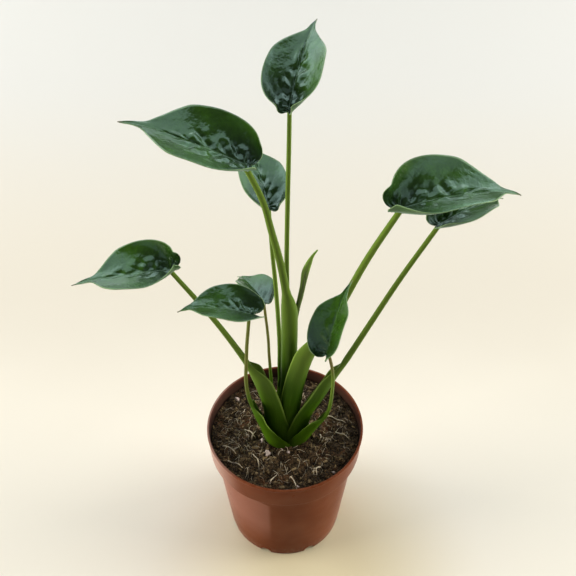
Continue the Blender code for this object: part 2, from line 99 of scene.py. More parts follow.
# The marks on the pot's plastic, with the painted light and shade on it. A pair gives where a mark starts
# to show and
# where it shows in full: along X or Y, out from the pot's axis, up from its foot, or up from its rim or its
# collar's foot.
RIM_WEAR_FROM_RIM = (-0.0016, -0.0003)
STEP_WEAR_FROM_COLLAR = (0.0010, 0)
STEP_WEAR_RADIUS = (0.0574, 0.0582)
DUST_HEIGHT = (0.016, 0)
# A patch of painted sunlight on the left of the wall, below the collar
PAINTED_LIGHT_X = (-0.0098, -0.0135)
PAINTED_LIGHT_Y = (0, -0.01)
PAINTED_LIGHT_FROM_COLLAR = (-0.0142, -0.0158)
PAINTED_LIGHT_SLOPE = 0.42
PAINTED_LIGHT_HEIGHT = (0.015, 0.055)
# A painted highlight on the left of the collar
PAINTED_HIGHLIGHT_X = (-0.030, -0.054)
PAINTED_HIGHLIGHT_FROM_COLLAR = (-0.001, 0.003)
# Painted shade on the inside wall
INSIDE_RADIUS = (0.05855, 0.0583)
INSIDE_HEIGHT = (0.095, 0.0965)
STAIN_HEIGHT = (0.1155, 0.1085)
DUST = (0.40, 0.30, 0.22)
# The colour of the painted shade on the inside wall
SHADED_PLASTIC = (0.060, 0.017, 0.011)
WATER_STAIN = (0.030, 0.018, 0.012)
PLASTIC_SHEEN = (1.0, 0.86, 0.80)

# The potting mix. The waves of its lumps: share, radians per metre along X and along Y, and start.
SOIL_EDGE = 0.1020
SOIL_CROWN = 0.1035
SOIL_RADIUS = COLLAR_FOOT_RADIUS - 0.0015
SOIL_EDGE_FADE = 0.004
SOIL_LUMP = 0.0009
SOIL_WAVES = [(0.6, 310, 270, 0.7), (0.5, 300, -290, 1.9), (0.7, 520, -410, 0.4), (0.6, 350, 640, 3.7)]
SOIL_CELLS = 150
CLOD_SIZE = 0.0034
CLOD_HEIGHT = 0.0012
CLOD_LEVEL = 0.6
HOLLOW_SHARE = 0.6
HOLLOW_SCALE = 0.6
GRAIN_SIZE = 0.0013
GRAIN_HEIGHT = 0.0008
GRAIN_LEVEL = 0.5
SOIL_CREASE = math.radians(60)
SOIL_GAP = 0.0004
SOIL_FLOOR_GAP = 0.0003
RUST_TINT = (1.5, 0.95, 0.75)
CLUMP_X = 0.001
CLUMP_RADIUS = 0.0165

# What lies on it. A size is the least, how much is added, and the power that keeps the large ones rare.
BITS_RADIUS = SOIL_RADIUS - 0.0012
LUMP_SCALE = 1.3
LUMP_SEED_STEP = 3
CRUMB_MODELS = 5
CRUMB_ROUGHNESS = 0.9
CRUMB_RADIUS = (0.0003, 0.0008, 2.2)
CRUMB_STRETCH = (0.7, 1.35)
CRUMB_SEAT = 0.25
CRUMB_TONE_POWER = 2
CHIP_MODELS = 6
CHIP_SEED_STEP = 2.3
CHIP_MIDDLE = 0.75
CHIP_TAPER = 0.2
CHIP_RAGGED = 0.35
CHIP_RAGS_SCALE = 1.1
CHIP_LENGTH = (0.0011, 0.0024, 1.8)
CHIP_WIDTH = (0.16, 0.42)
CHIP_THICKNESS = (0.08, 0.20)
CHIP_TILT = (-0.6, 0.6)
CHIP_SEAT = 0.8
CHIP_TONE_POWER_LEFT = 1.8
CHIP_TONE_POWER_RIGHT = 3.2
CHIP_FRONT = -0.03
CHIP_FRONT_TONE = 0.7
BARK = ((0.026, 0.016, 0.009), (0.36, 0.25, 0.12))
STONE_MODELS = 3
STONE_SEED = 11
STONE_ROUGHNESS = 1.2
STONE_STRETCH = (0.75, 1.15)
STONE_SEAT = 0.4
STONE_TONE = (0.5, 1)
STONE = ((0.30, 0.20, 0.16), (0.58, 0.47, 0.41))
FIBRES_RADIUS = SOIL_RADIUS - 0.008
FIBRE_BODY_RADIUS = (0.00008, 0.00020)
FIBRE_LENGTH = (0.003, 0.009)
FIBRE_STEPS = 7
FIBRE_BEND = (-0.25, 0.25)
FIBRE_KINK = (-0.2, 0.2)
FIBRE_LIFT = (0.0002, 0.0008)
FIBRE_MARGIN = 0.001
FIBRE_TAPER = 0.5
DULL_FIBRE = (0.12, 0.08, 0.05)
ROOT_RADIUS = 0.00046
ROOT_LIFT = (0.0010, 0.0011)
ROOT_STEPS_PER_SPAN = 4

# The corm, on which the stalks stand
CORM_TOP = 0.094
FOOT_GAP = 0.0003
CORM_SKIN = ((0.06, 0.038, 0.02), (0.20, 0.14, 0.08))

# The stalks: each sheath's half ring has so many points, and its rings stand at so many even steps
STALK_HALF_POINTS = 22
SHEATH_SECTIONS = 30
MOUTH_SECTIONS = 22
PETIOLE_SECTIONS = 44
SHEATH_EDGE = 0.0004
SHEATH_RIB = 0.00003
SHEATH_RIBS = 26
SHEATH_WAVE = 0.018
SHEATH_WAVES_PER_METRE = 90
SHEATH_EDGE_BAND = (0.90, 0.1)
AIM_STEP = 0.004
CAP_TURNS = (math.radians(30), math.radians(55), math.radians(75))
CAP_RISE = 0.5
STALK_SEAT = 0.6
LOFT_CREASE = math.radians(50)

# The colours along the stalks change between two heights, or between two shares of the way along
FOOT_GREEN_HEIGHT = (0.110, 0.175)
LIT_SHEATH_HEIGHT = (0.165, 0.230)
PALE_EDGE_HEIGHT = (0.115, 0.150)
STALK_GREEN_SHARE = (0.30, 0.74)

# The rolled leaf
ROLL_POINTS = 30
ROLL_TURNS = 1.55
ROLL_WALL = 0.00035
ROLL_SHRINK = 0.30
ROLL_TWIST = math.radians(165)
ROLL_STRAIGHT_SHARE = 0.7
ROLL_START = -1.9
ROLL_DEPTH = 0.8
ROLL_WALL_SHARE = 0.22
ROLL_EDGE_BAND = (0.93, 0.07)
ROLL_SECTIONS_PER_SPAN = 10

# The blades. Their rows fan round the basal lobes over the first share of the grid, and then cross the
# midrib one after another. Ahead of RIBBED_FROM each half is bent up across the midrib, and behind
# RIBBED_TO like the wall of a funnel.
BLADE_ROWS = 132
BLADE_COLUMNS = 30
MIDRIB_STEPS = 96
COLUMN_POWER = 1.35
SINUS = 0.04
FAN_SHARE = 0.33
LADDER_POWER = 1.6
ARCH_END = 0.8
TAIL_START = 0.7
TIP_FLATTENING = 0.55
TIP_FLATTENING_POWER = 1.5
RIBBED_FROM = 0.45
RIBBED_TO = 0.10
FUNNEL_START = math.radians(45)
FUNNEL_END = math.radians(145)

# The blades' relief: side veins follow the rows and sweep forward, and the blade puffs up between them. A
# pair gives where something fades in or out and over how much, as shares of the length or of the half
# width, and for the midrib's start in metres. The seed steps make each strip and each leaf different.
VEIN_SPACING = 0.098
VEIN_SWEEP = 0.055
VEIN_SWEEP_POWER = 1.6
VEIN_STAGGER = 0.35
VEIN_WIDTH = 0.085
VEIN_GROOVE = 0.10
FINE_VEIN_START = (0, 0.08)
FINE_VEIN_END = (0.6, 0.35)
PUCKER_SIZE = 0.0050
PUFF_SHARE = 0.45
PUFF_OWN = (0.65, 0.55)
STRIP_SEED_STEP = 1.7
PUCKER_SEED_STEP = 3.1
MARGIN_SEED_STEP = 0.13
SURFACE_SEED_STEP = 0.1
PUCKER_SHARE = 0.95
PUCKER_BELT_START = (0, 0.10)
PUCKER_BELT_END = (0.25, 0.38)
PUCKER_TIP = (0.52, 0.26)
RECURVE_BELT = (0.35, 0.9)
MIDRIB_HALF_WIDTH = 0.0007
MIDRIB_TAPER = 1.25
MIDRIB_START = (-0.001, 0.002)
MIDRIB_GROOVE = 0.00025
MIDRIB_GROOVE_START = (0, 0.05)
RIDGE_TIP = 0.00025
RIDGE_DEPTH = 0.95
RIDGE_POWER = 6.9
RIDGE_NARROWING = 0.72
RIDGE_NARROWING_POWER = 0.5
RIDGE_END = (0.75, 0.25)
SIDE_RIDGE = 0.00022
MARGIN_WAVES = 4.5
MARGIN_WAVE = 0.0003
MARGIN_WAVE_BELT = (0.75, 0.25)
MARGIN_WAVE_START = (0, 0.2)
MARGIN_BAND = (0.978, 0.022)
TIP_BAND = (0.93, 0.07)
# Where the painted shade round the joint with the stalk starts and is full, in metres, and the colours of
# the dry tip, of the gloss and of the sheen
LOBE_SHADE = (0.024, 0.006)
TIP_BROWN = (0.11, 0.065, 0.030)
LEAF_GLOSS = (0.68, 1.0, 0.89)
LEAF_SHEEN = (0.60, 1.0, 0.84)

# How far the outer part of a blade bends back down, as a share of its length
RECURVE = {"middle_left": 0.030, "lower_left": 0.030, "large_right": 0.016, "top": 0.008}

# How strongly the left and the right half of a blade are puckered, where that isn't in full
CALM = {"large_left": (0.8, 1), "lower_left": (0.25, 1), "large_right": (1, 0.70),
        "second_right": (0.8, 0.5), "small_back": (0.35, 0.3), "small_front": (0.55, 0.25),
        "middle_left": (0.6, 1)}

# Each leaf's blade: the point where it joins its stalk, the compass heading of its midrib (0 is +X, 90 is
# +Y), its pitch and roll, its flat length and width, and how it is bent. fold: rise of each half at the
# midrib; cup: further rise per half width; lobe: further curl of the basal lobes; arch and tail: droop of
# the midrib and of the tip; side: sideways sweep; twist: turn about the midrib; skew: share by which the
# left half is cupped more; drip: share of the length that the drawn-out tip takes; ear: how far the basal
# lobes reach back.
BLADES = {
    "top": dict(
        at=(2.9, 25, 364), heading=72, pitch=47, roll=-2, length=58, width=38.5, fold=16, cup=35,
        lobe=150, arch=15, tail=16, side=-4, twist=-3, skew=0.02, drip=0.19, ear=0.64),
    "large_left": dict(
        at=(-21.4, 0, 342), heading=170, pitch=21, roll=-17, length=75.5, width=46.5, fold=12, cup=34,
        lobe=112, arch=6, tail=21, side=2, twist=8, skew=-0.11, drip=0.23, ear=0.54),
    "back": dict(
        at=(-10, 36, 289.7), heading=109, pitch=34, roll=-1, length=53.5, width=33.5, fold=11, cup=29,
        lobe=122, arch=15, tail=16, side=-6, twist=12, skew=0.06, drip=0.21, ear=0.77),
    "middle_left": dict(
        at=(-69.9, -10, 274.5), heading=186, pitch=-3, roll=-17, length=61, width=38, fold=14, cup=40,
        lobe=138, arch=5, tail=10, side=2, twist=19, skew=-0.07, drip=0.24, ear=0.86),
    "lower_left": dict(
        at=(-20.8, -28, 254.4), heading=184, pitch=23, roll=-6, length=45, width=32, fold=12, cup=36,
        lobe=90, arch=19, tail=30, side=10, twist=16, skew=-0.11, drip=0.19, ear=0.96),
    "small_back": dict(
        at=(-14.7, 28, 213.5), heading=118, pitch=5, roll=4, length=41.5, width=29, fold=14, cup=37,
        lobe=97, arch=16, tail=25, side=6, twist=3, skew=0.14, drip=0.20, ear=0.86),
    "large_right": dict(
        at=(65.9, -12, 320.8), heading=10, pitch=12, roll=17, length=74.5, width=49, fold=17, cup=48,
        lobe=122, arch=15, tail=24, side=-7, twist=-19, skew=0.08, drip=0.20, ear=0.80),
    "second_right": dict(
        at=(91.2, -4, 304), heading=32, pitch=10, roll=9, length=56, width=36.5, fold=13, cup=44,
        lobe=86, arch=15, tail=28, side=2, twist=-15, skew=0.07, drip=0.21, ear=0.68),
    "small_front": dict(
        at=(26.2, -41, 234.6), heading=65, pitch=66, roll=-21, length=47.5, width=28.5, fold=16, cup=39,
        lobe=105, arch=15, tail=22, side=-1, twist=0, skew=0.03, drip=0.23, ear=0.57),
}

# Each stalk: the side that its sheath's back faces, the sheath's radius at its foot, half the angle that
# it wraps round, its wall, the share by which it narrows, the height of its mouth, the height at which it
# has closed into the round stalk, the stalk's radius there and under the blade, and points of its axis.
STALKS = {
    "top": dict(
        faces=90, wrap=3.4, half_angle=75, wall=1.1, slims=0.2, mouth=130, closed=150, neck=1.9, tip=1.3,
        route=[(1.9, 0.9, 150), (2.0, 1.1, 200), (1.9, 2.5, 222), (1.6, 5, 248), (1.5, 9, 270),
               (2.1, 14, 309), (2.8, 20, 339)]),
    "large_left": dict(
        faces=250, wrap=5.8, half_angle=112, wall=1.3, slims=0.04, mouth=226, closed=256, neck=2.6, tip=1.7,
        route=[(1.4, -3.0, 150), (2.1, -3.2, 195), (2.3, -3.2, 222), (1.7, -3.2, 241), (0.5, -3.1, 254),
               (-2.6, -2.6, 274), (-7.6, -1.8, 297), (-12.4, -0.9, 318)]),
    "back": dict(
        faces=110, wrap=7.6, half_angle=72, wall=1.1, slims=0.3, mouth=130, closed=160, neck=1.7, tip=1.3,
        route=[(-2.4, 6.8, 130), (-3.6, 7.4, 165), (-3.7, 9.5, 194), (-5.8, 17, 234), (-8.2, 25, 262)]),
    "large_right": dict(
        faces=-55, wrap=9.2, half_angle=92, wall=1.5, slims=0.15, mouth=198, closed=240, neck=2.5, tip=1.8,
        route=[(5.4, -6.2, 122), (7.2, -8, 144), (9.2, -10.2, 165), (12.8, -12.3, 187), (18.5, -13.8, 208),
               (31.3, -15, 238), (49.1, -13.5, 284)]),
    "middle_left": dict(
        faces=205, wrap=11.4, half_angle=98, wall=1.5, slims=0.15, mouth=168, closed=195, neck=2.3, tip=1.4,
        route=[(-9.3, -4.2, 106), (-11.8, -5.2, 124), (-14, -6.6, 143), (-18.5, -8.2, 165),
               (-24.5, -9, 186), (-33, -9.3, 206), (-47.5, -9.7, 235)]),
    "second_right": dict(
        faces=-25, wrap=13.4, half_angle=80, wall=1.5, slims=0.3, mouth=165, closed=192, neck=2.2, tip=1.5,
        route=[(13.2, -5.3, 112), (18, -6, 132), (26.2, -6.2, 151), (34.2, -6, 171), (43.7, -5.5, 192),
               (56, -5, 222), (72.5, -4.5, 262)]),
    "lower_left": dict(
        faces=204, wrap=15.2, half_angle=56, wall=1.3, slims=0.3, mouth=145, closed=154, neck=1.4, tip=1.1,
        route=[(-12.6, -7, 103), (-16.5, -10.6, 121), (-20.1, -13, 135), (-23.5, -15, 152),
               (-25.7, -16.8, 166), (-26.4, -19.5, 184), (-25.4, -22.5, 203), (-23.9, -25.5, 225)]),
    "small_front": dict(
        faces=-41, wrap=15.0, half_angle=56, wall=1.3, slims=0.3, mouth=133, closed=141, neck=1.3, tip=1.0,
        route=[(13.6, -8.9, 103), (19.6, -11.5, 118), (25.2, -13.5, 130), (29.9, -16, 142),
               (32.1, -19, 157), (32.6, -23, 176), (32.3, -27, 193), (30.8, -31, 209)]),
    "small_back": dict(
        faces=115, wrap=15.2, half_angle=30, wall=1.3, slims=0.3, mouth=128, closed=140, neck=1.2, tip=1.0,
        route=[(-9, 10.5, 120), (-10.4, 12, 151), (-11.5, 16, 171), (-12.2, 20, 188)]),
}

# The sheaths are filled out up to a height above their feet, which closes the gaps between them: how far
# they swell outwards, how much wider they grow, by what share they wrap further round, and how far they are
# wound round the clump
FOOT_FILL_HEIGHT = 0.044
FOOT_SWELL = {"middle_left": 0.0030, "lower_left": 0.0014, "second_right": 0.0022,
              "large_right": 0.0022, "small_front": 0.0014}
FOOT_FLARE = {"middle_left": 0.0034, "large_right": 0.0022, "second_right": 0.0006, "large_left": 0.0020}
FOOT_SPREAD = {"lower_left": 0.42}
FOOT_SPREAD_OF_OTHERS = 0.12
FOOT_TURN = {"lower_left": math.radians(18), "small_front": math.radians(-6)}

# How bronze the thin young stalks are under their blades, and the share of the stalk where that starts
BRONZE = {"small_back": (0.8, 0.45), "lower_left": (0.6, 0.50), "small_front": (0.95, 0.78)}
BRONZE_FADE = 0.15

# The rolled new leaf: radius and axis points from its foot to its tip, in millimetres
SPIKE = [(0.9, (4.2, -0.6, 94.3)), (1.0, (5.1, -0.7, 150)), (1.1, (6.0, 0.4, 200)), (1.5, (7.3, 2.2, 219)),
         (1.8, (8.7, 3, 231)), (2.0, (10.3, 3.2, 240)), (2.1, (11.8, 3.2, 250)), (2.7, (13.2, 3.2, 261)),
         (2.2, (15.2, 3.2, 268)), (1.2, (17.5, 3.2, 274)), (0.5, (20.6, 3.2, 279))]

# Roots and straws that stand out on the potting mix: points along each, in millimetres
ROOTS = [
    [(-31.4, 0.9), (-27.4, -1.1), (-24.6, -5.0), (-22.5, -6.8)],
    [(-25.5, -9.6), (-24.9, -5.2), (-22.5, -1.8)],
    [(-47.4, -15.2), (-42.0, -17.0), (-37.1, -22.5)],
    [(-42.8, -27.9), (-36.5, -31.2), (-31.2, -34.9)],
    [(-24.2, -22.5), (-20.3, -27.9), (-19.3, -34.9)],
    [(33.4, 13.6), (41.2, 10.7), (48.8, 6.7)],
    [(38.9, -2.0), (44.9, -4.4), (50.2, -8.7)],
    [(27.2, -3.9), (27.6, -8.0), (25.4, -11.5)],
    [(26.1, -34.1), (23.2, -36.0), (23.7, -40.1)],
    [(4.5, -42.7), (6.7, -46.1), (8.1, -49.5)],
    [(-10.8, -48.6), (-9.4, -44.4), (-5.8, -41.0)],
]
# Pale stones that stand out there: place and radius, in millimetres
PALE_STONES = [(-17.0, -10.5, 2.0), (-13.2, -21.6, 2.7), (-38.4, 31.0, 2.3), (-28.6, -46.5, 1.0),
               (9.6, -50.3, 0.9), (36.1, -37.4, 1.0), (2.5, -20.5, 1.1), (-2.5, -19.0, 1.0)]

# The studio. Each light: its name, place and size, and which share it has of which setting's brightness.
# The windows and the sky are mirrored in the leaves, and the sky lights nothing otherwise.
LIGHTS = [
    ("left_window", (-1.9, 1.9, 2.0), (3.6, 2.7), 0.9, "window"),
    ("right_window", (2.4, 1.3, 2.0), (3.4, 2.7), 1, "window"),
    ("left_fill", (-4, -0.1, 0.6), (2.6, 2.0), 1, "side"),
    ("right_fill", (4, 0.3, 0.6), (2.6, 2.0), 0.85, "side"),
    ("ceiling_light", (0, 0, 3), (5, 5), 1, "ceiling"),
    ("sky_panel", (-0.3, 0.9, 2.8), (6.2, 3.8), 1, "sky"),
    ("wall_panel", (2.7, -1.8, 2.0), (2.6, 2.2), 0.50, "sky"),
    ("room_panel", (0.5, -3.0, 0.9), (7.5, 2.0), 0.30, "sky"),
]
CAMERA_PLACE = (0.0023, -0.341, 0.547)
CAMERA_TILT = math.radians(49)
CAMERA_LENS = 44
CAMERA_SENSOR = 36
CAMERA_CLIP_START = 0.01
FLOOR_SIZE = 14
AIM = Vector((0, 0, 0.2))
WARM_LIGHT = (1.0, 0.96, 0.90)
AIR = (1.0, 0.98, 0.94)
# The floor's tones of painted light: how each tints its colour, and where it starts and is full, along Y or
# from a point
PAINTED_WARM_FLOOR = (1.05, 0.99, 0.89)
PAINTED_WARM_FLOOR_Y = (0.95, 0.30)
PAINTED_LIGHT_FLOOR = (1.33, 1.28, 1.18)
PAINTED_LIGHT_FLOOR_Y = (0.35, 0)
PAINTED_AMBER_POOL = (1.02, 0.90, 0.56)
PAINTED_AMBER_POOL_CENTRE = (0.025, -0.06, 0)
PAINTED_AMBER_POOL_REACH = (0.15, 0.02)


def colour_setting(name, description, default):
    """A colour that a user can change."""
    return FloatVectorProperty(name=name, description=description, default=default, min=0, max=1, size=3,
                               subtype="COLOR")


def length_setting(name, description, default, least):
    """A length that a user can change."""
    return FloatProperty(name=name, description=description, default=default, min=least, unit="LENGTH")


def number_setting(name, description, default):
    """A plain number that a user can change."""
    return FloatProperty(name=name, description=description, default=default, min=0)


class PotSettings(PropertyGroup):
    """Sizes and colours of the pot."""

    rim_radius: length_setting("Rim radius", "Outer radius of the collar at the rim", POT_HIGH.x, 0.03)
    height: length_setting("Height", "Height of the pot from its foot to its rim", POT_HIGH.z, 0.03)
    collar_height: length_setting("Collar height", "Height of the thicker band at the rim", 0.020, 0.005)
    wall: length_setting("Wall", "Thickness of the moulded wall", 0.0012, 0.0005)
    plastic: colour_setting("Plastic", "Colour of the clean plastic", (0.108, 0.025, 0.007))
    scuffed: colour_setting("Scuffed plastic", "Colour of the worn plastic", (0.21, 0.075, 0.038))
    # The patch of painted sunlight on the left of the wall
    painted_light: colour_setting("Painted sunlight", "Colour of the rubbed patch on the wall", (0.24, 0.100, 0.070))
    # The painted highlight on the left of the collar
    painted_collar_highlight: colour_setting("Painted collar highlight", "Colour of the painted highlight on the left of the collar", (0.42, 0.27, 0.22))


class SoilSettings(PropertyGroup):
    """Amounts and colours of the potting mix."""

    seed: IntProperty(name="Seed", description="Start of the random scatter", default=7, min=0)
    crumbs: IntProperty(name="Crumbs", description="Number of loose crumbs", default=1900, min=0)
    chips: IntProperty(name="Chips", description="Number of bark chips", default=1300, min=0)
    fibres: IntProperty(name="Fibres", description="Number of fine fibres", default=260, min=0)
    dark: colour_setting("Wet peat", "Colour of the darkest peat", (0.017, 0.011, 0.007))
    light: colour_setting("Dry peat", "Colour of the dry crumbs on top", (0.108, 0.066, 0.028))
    straw: colour_setting("Straw", "Colour of dry fibres and specks", (0.60, 0.49, 0.33))


class StalkSettings(PropertyGroup):
    """Colours of the stalks."""

    foot: colour_setting("Foot", "Colour of the sheaths where they leave the soil", (0.042, 0.096, 0.002))
    sheath: colour_setting("Sheath", "Colour of the sheaths higher up", (0.019, 0.053, 0.001))
    stalk: colour_setting("Stalk", "Colour of the round stalks under the blades", (0.090, 0.145, 0.018))
    bronze: colour_setting("Bronze", "Colour of the thin young stalks", (0.100, 0.075, 0.026))
    edge: colour_setting("Edge", "Colour of the thin free edges of the sheaths", (0.22, 0.32, 0.06))


class BladeSettings(PropertyGroup):
    """Sizes and colours of the blades."""

    thickness: length_setting("Thickness", "Thickness of the blade between its veins", 0.00045, 0.0002)
    pucker: number_setting("Pucker", "Height of the puckers as a share of the blade's length", 0.024)
    upper: colour_setting("Upper face", "Colour of the upper face", (0.027, 0.082, 0.001))
    vein: colour_setting("Veins", "Colour of the veins on the upper face", (0.060, 0.130, 0.030))
    under: colour_setting("Underside", "Colour of the underside", (0.026, 0.060, 0.012))
    margin: colour_setting("Margin", "Colour of the thin cartilage round the blade", (0.16, 0.24, 0.09))
    gloss_roughness: number_setting("Gloss roughness", "Roughness of the upper face", 0.21)


class NewLeafSettings(PropertyGroup):
    """Colours of the rolled new leaf."""

    fresh: colour_setting("Fresh", "Colour of its upper part", (0.15, 0.26, 0.030))
    shaded: colour_setting("Shaded", "Colour of its lower part", (0.055, 0.085, 0.016))


class StudioSettings(PropertyGroup):
    """Lights and colours of the studio."""

    floor: colour_setting("Floor", "Colour of the floor", (0.628, 0.608, 0.560))
    window: colour_setting("Window light", "Colour of the windows' and the sky's light", (0.86, 0.94, 1.0))
    window_radiance: number_setting("Window radiance", "Brightness of the two lights behind the plant", 2.3)
    side_radiance: number_setting("Side radiance", "Brightness of the lights at both sides", 24)
    ceiling_radiance: number_setting("Ceiling radiance", "Brightness of the light above", 0.10)
    sky_radiance: number_setting("Sky radiance", "Brightness of what the leaves mirror from above", 2.4)
    ambient: number_setting("Ambient", "Strength of the light from all round", 0.14)


class Signal:
    """A socket of a finish's node tree, on which sums, differences and products add their Math nodes."""

    def __init__(self, finish, socket):
        self.finish = finish
        self.socket = socket

    def calculate(self, operation, first, second):
        """The result of a Math node on two numbers or signals."""
        return self.finish.node("ShaderNodeMath", {"operation": operation}, {0: first, 1: second})

    def __add__(self, other):
        return self.calculate("ADD", self, other)

    def __sub__(self, other):
        return self.calculate("SUBTRACT", self, other)

    def __rsub__(self, other):
        return self.calculate("SUBTRACT", other, self)

    def __mul__(self, other):
        return self.calculate("MULTIPLY", self, other)

    __radd__ = __add__
    __rmul__ = __mul__


class Finish:
    """A material being built: its node tree, its shader and the nodes that feed it."""

    def __init__(self, name):
        self.material = bpy.data.materials.new(name)
        self.material.use_nodes = True
        self.tree = self.material.node_tree
        self.shader = self.tree.nodes["Principled BSDF"]

    def node(self, kind, settings=None, sockets=None, output=0):
        """Adds a node: its settings first, and then the values or links of its sockets."""
        made = self.tree.nodes.new(kind)
        for name, value in (settings or {}).items():
            setattr(made, name, value)
        for name, value in (sockets or {}).items():
            self.feed(made.inputs[name], value)
        return Signal(self, made.outputs[output])

    def feed(self, socket, value):
        """Links a socket, or sets its value; a colour of three numbers is given its alpha."""
        if isinstance(value, Signal):
            self.tree.links.new(value.socket, socket)
        elif socket.type == "RGBA":
            socket.default_value = (*value, 1)
        else:
            socket.default_value = value

    def shade(self, **sockets):
        """Feeds the shader's own sockets, named with underscores."""
        names = {name.replace(" ", "_").lower(): name for name in self.shader.inputs.keys()}
        for name, value in sockets.items():
            self.feed(self.shader.inputs[names[name]], value)

    def place(self):
        """The point on the piece, in metres."""
        return self.node("ShaderNodeTexCoord", output="Object")

    def along(self, axis):
        """One coordinate of the point on the piece, in metres."""
        return self.node("ShaderNodeSeparateXYZ", sockets={0: self.place()}, output=axis)

    def mark(self, name):
        """A number that is stored on the piece's points."""
        return self.node("ShaderNodeAttribute", {"attribute_name": name}, output="Fac")

    def vector(self, operation, first, second=(0, 0, 0), output="Vector"):
        """Vector maths on one vector or two."""
        return self.node("ShaderNodeVectorMath", {"operation": operation}, {0: first, 1: second}, output)

    def surface(self, stretch=(1, 1, 1)):
        """The point on a piece's own unrolled surface, in metres, stretched along each axis. Its third
        number only tells the blades, or the two faces of a sheath, apart."""
        spot = self.node("ShaderNodeAttribute", {"attribute_name": "surface"}, output="Vector")
        return self.node("ShaderNodeMapping", sockets={"Vector": spot, "Scale": stretch})

    def mix(self, factor, first, second):
        """A colour between two colours."""
        return self.node("ShaderNodeMix", {"data_type": "RGBA"}, {0: factor, 6: first, 7: second}, output=2)

    def step(self, value, low, high):
        """0 below low, 1 above high, and smooth between; low may be the larger one."""
        return self.node("ShaderNodeMapRange", {"interpolation_type": "SMOOTHSTEP"},
                         {"Value": value, "From Min": low, "From Max": high})

    def grain(self, size, detail=2, place=None):
        """Noise from 0 to 1 whose grains are about as large as the size, in metres."""
        return self.node("ShaderNodeTexNoise", sockets={
            "Vector": place or self.place(), "Scale": 1 / size, "Detail": detail, "Roughness": 0.55})

    def cells(self, size, place=None):
        """Distance to the edge of cells of a size in metres, 0 on their edges."""
        return self.node("ShaderNodeTexVoronoi", {"feature": "DISTANCE_TO_EDGE"},
                         {"Vector": place or self.place(), "Scale": 1 / size})

    def bump(self, height, distance, strength=1):
        """A normal that is tilted by a height from 0 to 1, which stands for a distance in metres."""
        return self.node("ShaderNodeBump", sockets={
            "Strength": strength, "Distance": distance, "Height": height}, output="Normal")


def tinted(colour, *tints):
    """A colour made darker or lighter by one tint, or by one for each of its three channels."""
    tints = tints * 3 if len(tints) == 1 else tints
    return tuple(min(value * tint, 1) for value, tint in zip(colour, tints))


def from_base(base, pair):
    """A pair of limits that are measured from a base."""
    return tuple(base + limit for limit in pair)


def plastic_finish(pot):
    """Satin terracotta plastic: faintly mottled, paler on its worn edges, dusty at the foot and stained
    inside by watering.
    Painted sunlight lies on a patch at the left of the wall, a painted highlight on the left of the collar,
    and painted shade on the inside wall."""
    finish = Finish("terracotta_plastic")
    height = finish.along("Z")
    across = finish.along("X")
    radius = finish.vector("LENGTH", finish.vector("MULTIPLY", finish.place(), (1, 1, 0)), output="Value")
    collar_foot = pot.height - pot.collar_height
    spots = finish.grain(0.0045, 4)
    mottling = finish.step(finish.grain(0.03), 0.3, 0.8)
    colour = finish.mix(mottling * 0.35, pot.plastic, pot.scuffed)
    rim = finish.step(height, *from_base(pot.height, RIM_WEAR_FROM_RIM))
    step = finish.step(height, *from_base(collar_foot, STEP_WEAR_FROM_COLLAR))
    worn = (rim + step * finish.step(radius, *STEP_WEAR_RADIUS)) * finish.step(spots, 0.35, 0.6)
    colour = finish.mix(worn * 0.30, colour, pot.scuffed)
    dust = finish.step(height, *DUST_HEIGHT) * finish.step(finish.grain(0.003, 5), 0.45, 0.75)
    colour = finish.mix(dust * 0.2, colour, DUST)
    # Painted light: a patch of painted sunlight on the left of the wall, below the collar
    painted_light = finish.step(across, *PAINTED_LIGHT_X) * finish.step(finish.along("Y"), *PAINTED_LIGHT_Y)
    slanted = height + across * PAINTED_LIGHT_SLOPE
    painted_light = painted_light * finish.step(slanted, *from_base(collar_foot, PAINTED_LIGHT_FROM_COLLAR))
    colour = finish.mix(painted_light * finish.step(height, *PAINTED_LIGHT_HEIGHT) * 0.55, colour, pot.painted_light)
    # Painted highlight on the left of the collar
    collar = finish.step(height, *from_base(collar_foot, PAINTED_HIGHLIGHT_FROM_COLLAR))
    colour = finish.mix(collar * finish.step(across, *PAINTED_HIGHLIGHT_X) * 0.45, colour, pot.painted_collar_highlight)
    # Painted shade on the inside wall
    inside = finish.step(radius, *INSIDE_RADIUS) * finish.step(height, *INSIDE_HEIGHT)
    stain = inside * finish.step(height + spots * 0.005, *STAIN_HEIGHT)
    colour = finish.mix(inside * 0.9, colour, SHADED_PLASTIC)
    colour = finish.mix(stain * 0.8, colour, WATER_STAIN)
    relief = finish.grain(0.0009, 2) * 0.5 + finish.grain(0.012, 1) * 0.8
    finish.shade(base_color=colour, roughness=finish.grain(0.01, 3) * 0.10 + 0.25 + stain * 0.3,
                 normal=finish.bump(relief, 0.00025, 0.35), specular_ior_level=0.03,
                 sheen_weight=0.24, sheen_roughness=0.16, sheen_tint=PLASTIC_SHEEN)
    return finish.material


def peat_finish(soil):
    """Peaty potting mix: wet brown in the hollows, drier and lighter on the crumbs, with pale specks."""
    finish = Finish("potting_mix")
    fine = finish.grain(0.0011, 6)
    patches = finish.grain(0.012, 3)
    colour = finish.mix(finish.step(fine, 0.42, 0.66), soil.dark, soil.light)
    rusty = finish.step(patches, 0.52, 0.72) * 0.55
    colour = finish.mix(rusty, colour, tinted(soil.light, *RUST_TINT))
    specks = finish.step(finish.grain(0.0007, 2), 0.70, 0.76)
    colour = finish.mix(specks * 0.5, colour, soil.straw)
    finish.shade(base_color=colour, roughness=0.86 + fine * 0.12, specular_ior_level=0.1,
                 normal=finish.bump(fine, 0.0012, 0.9))
    return finish.material


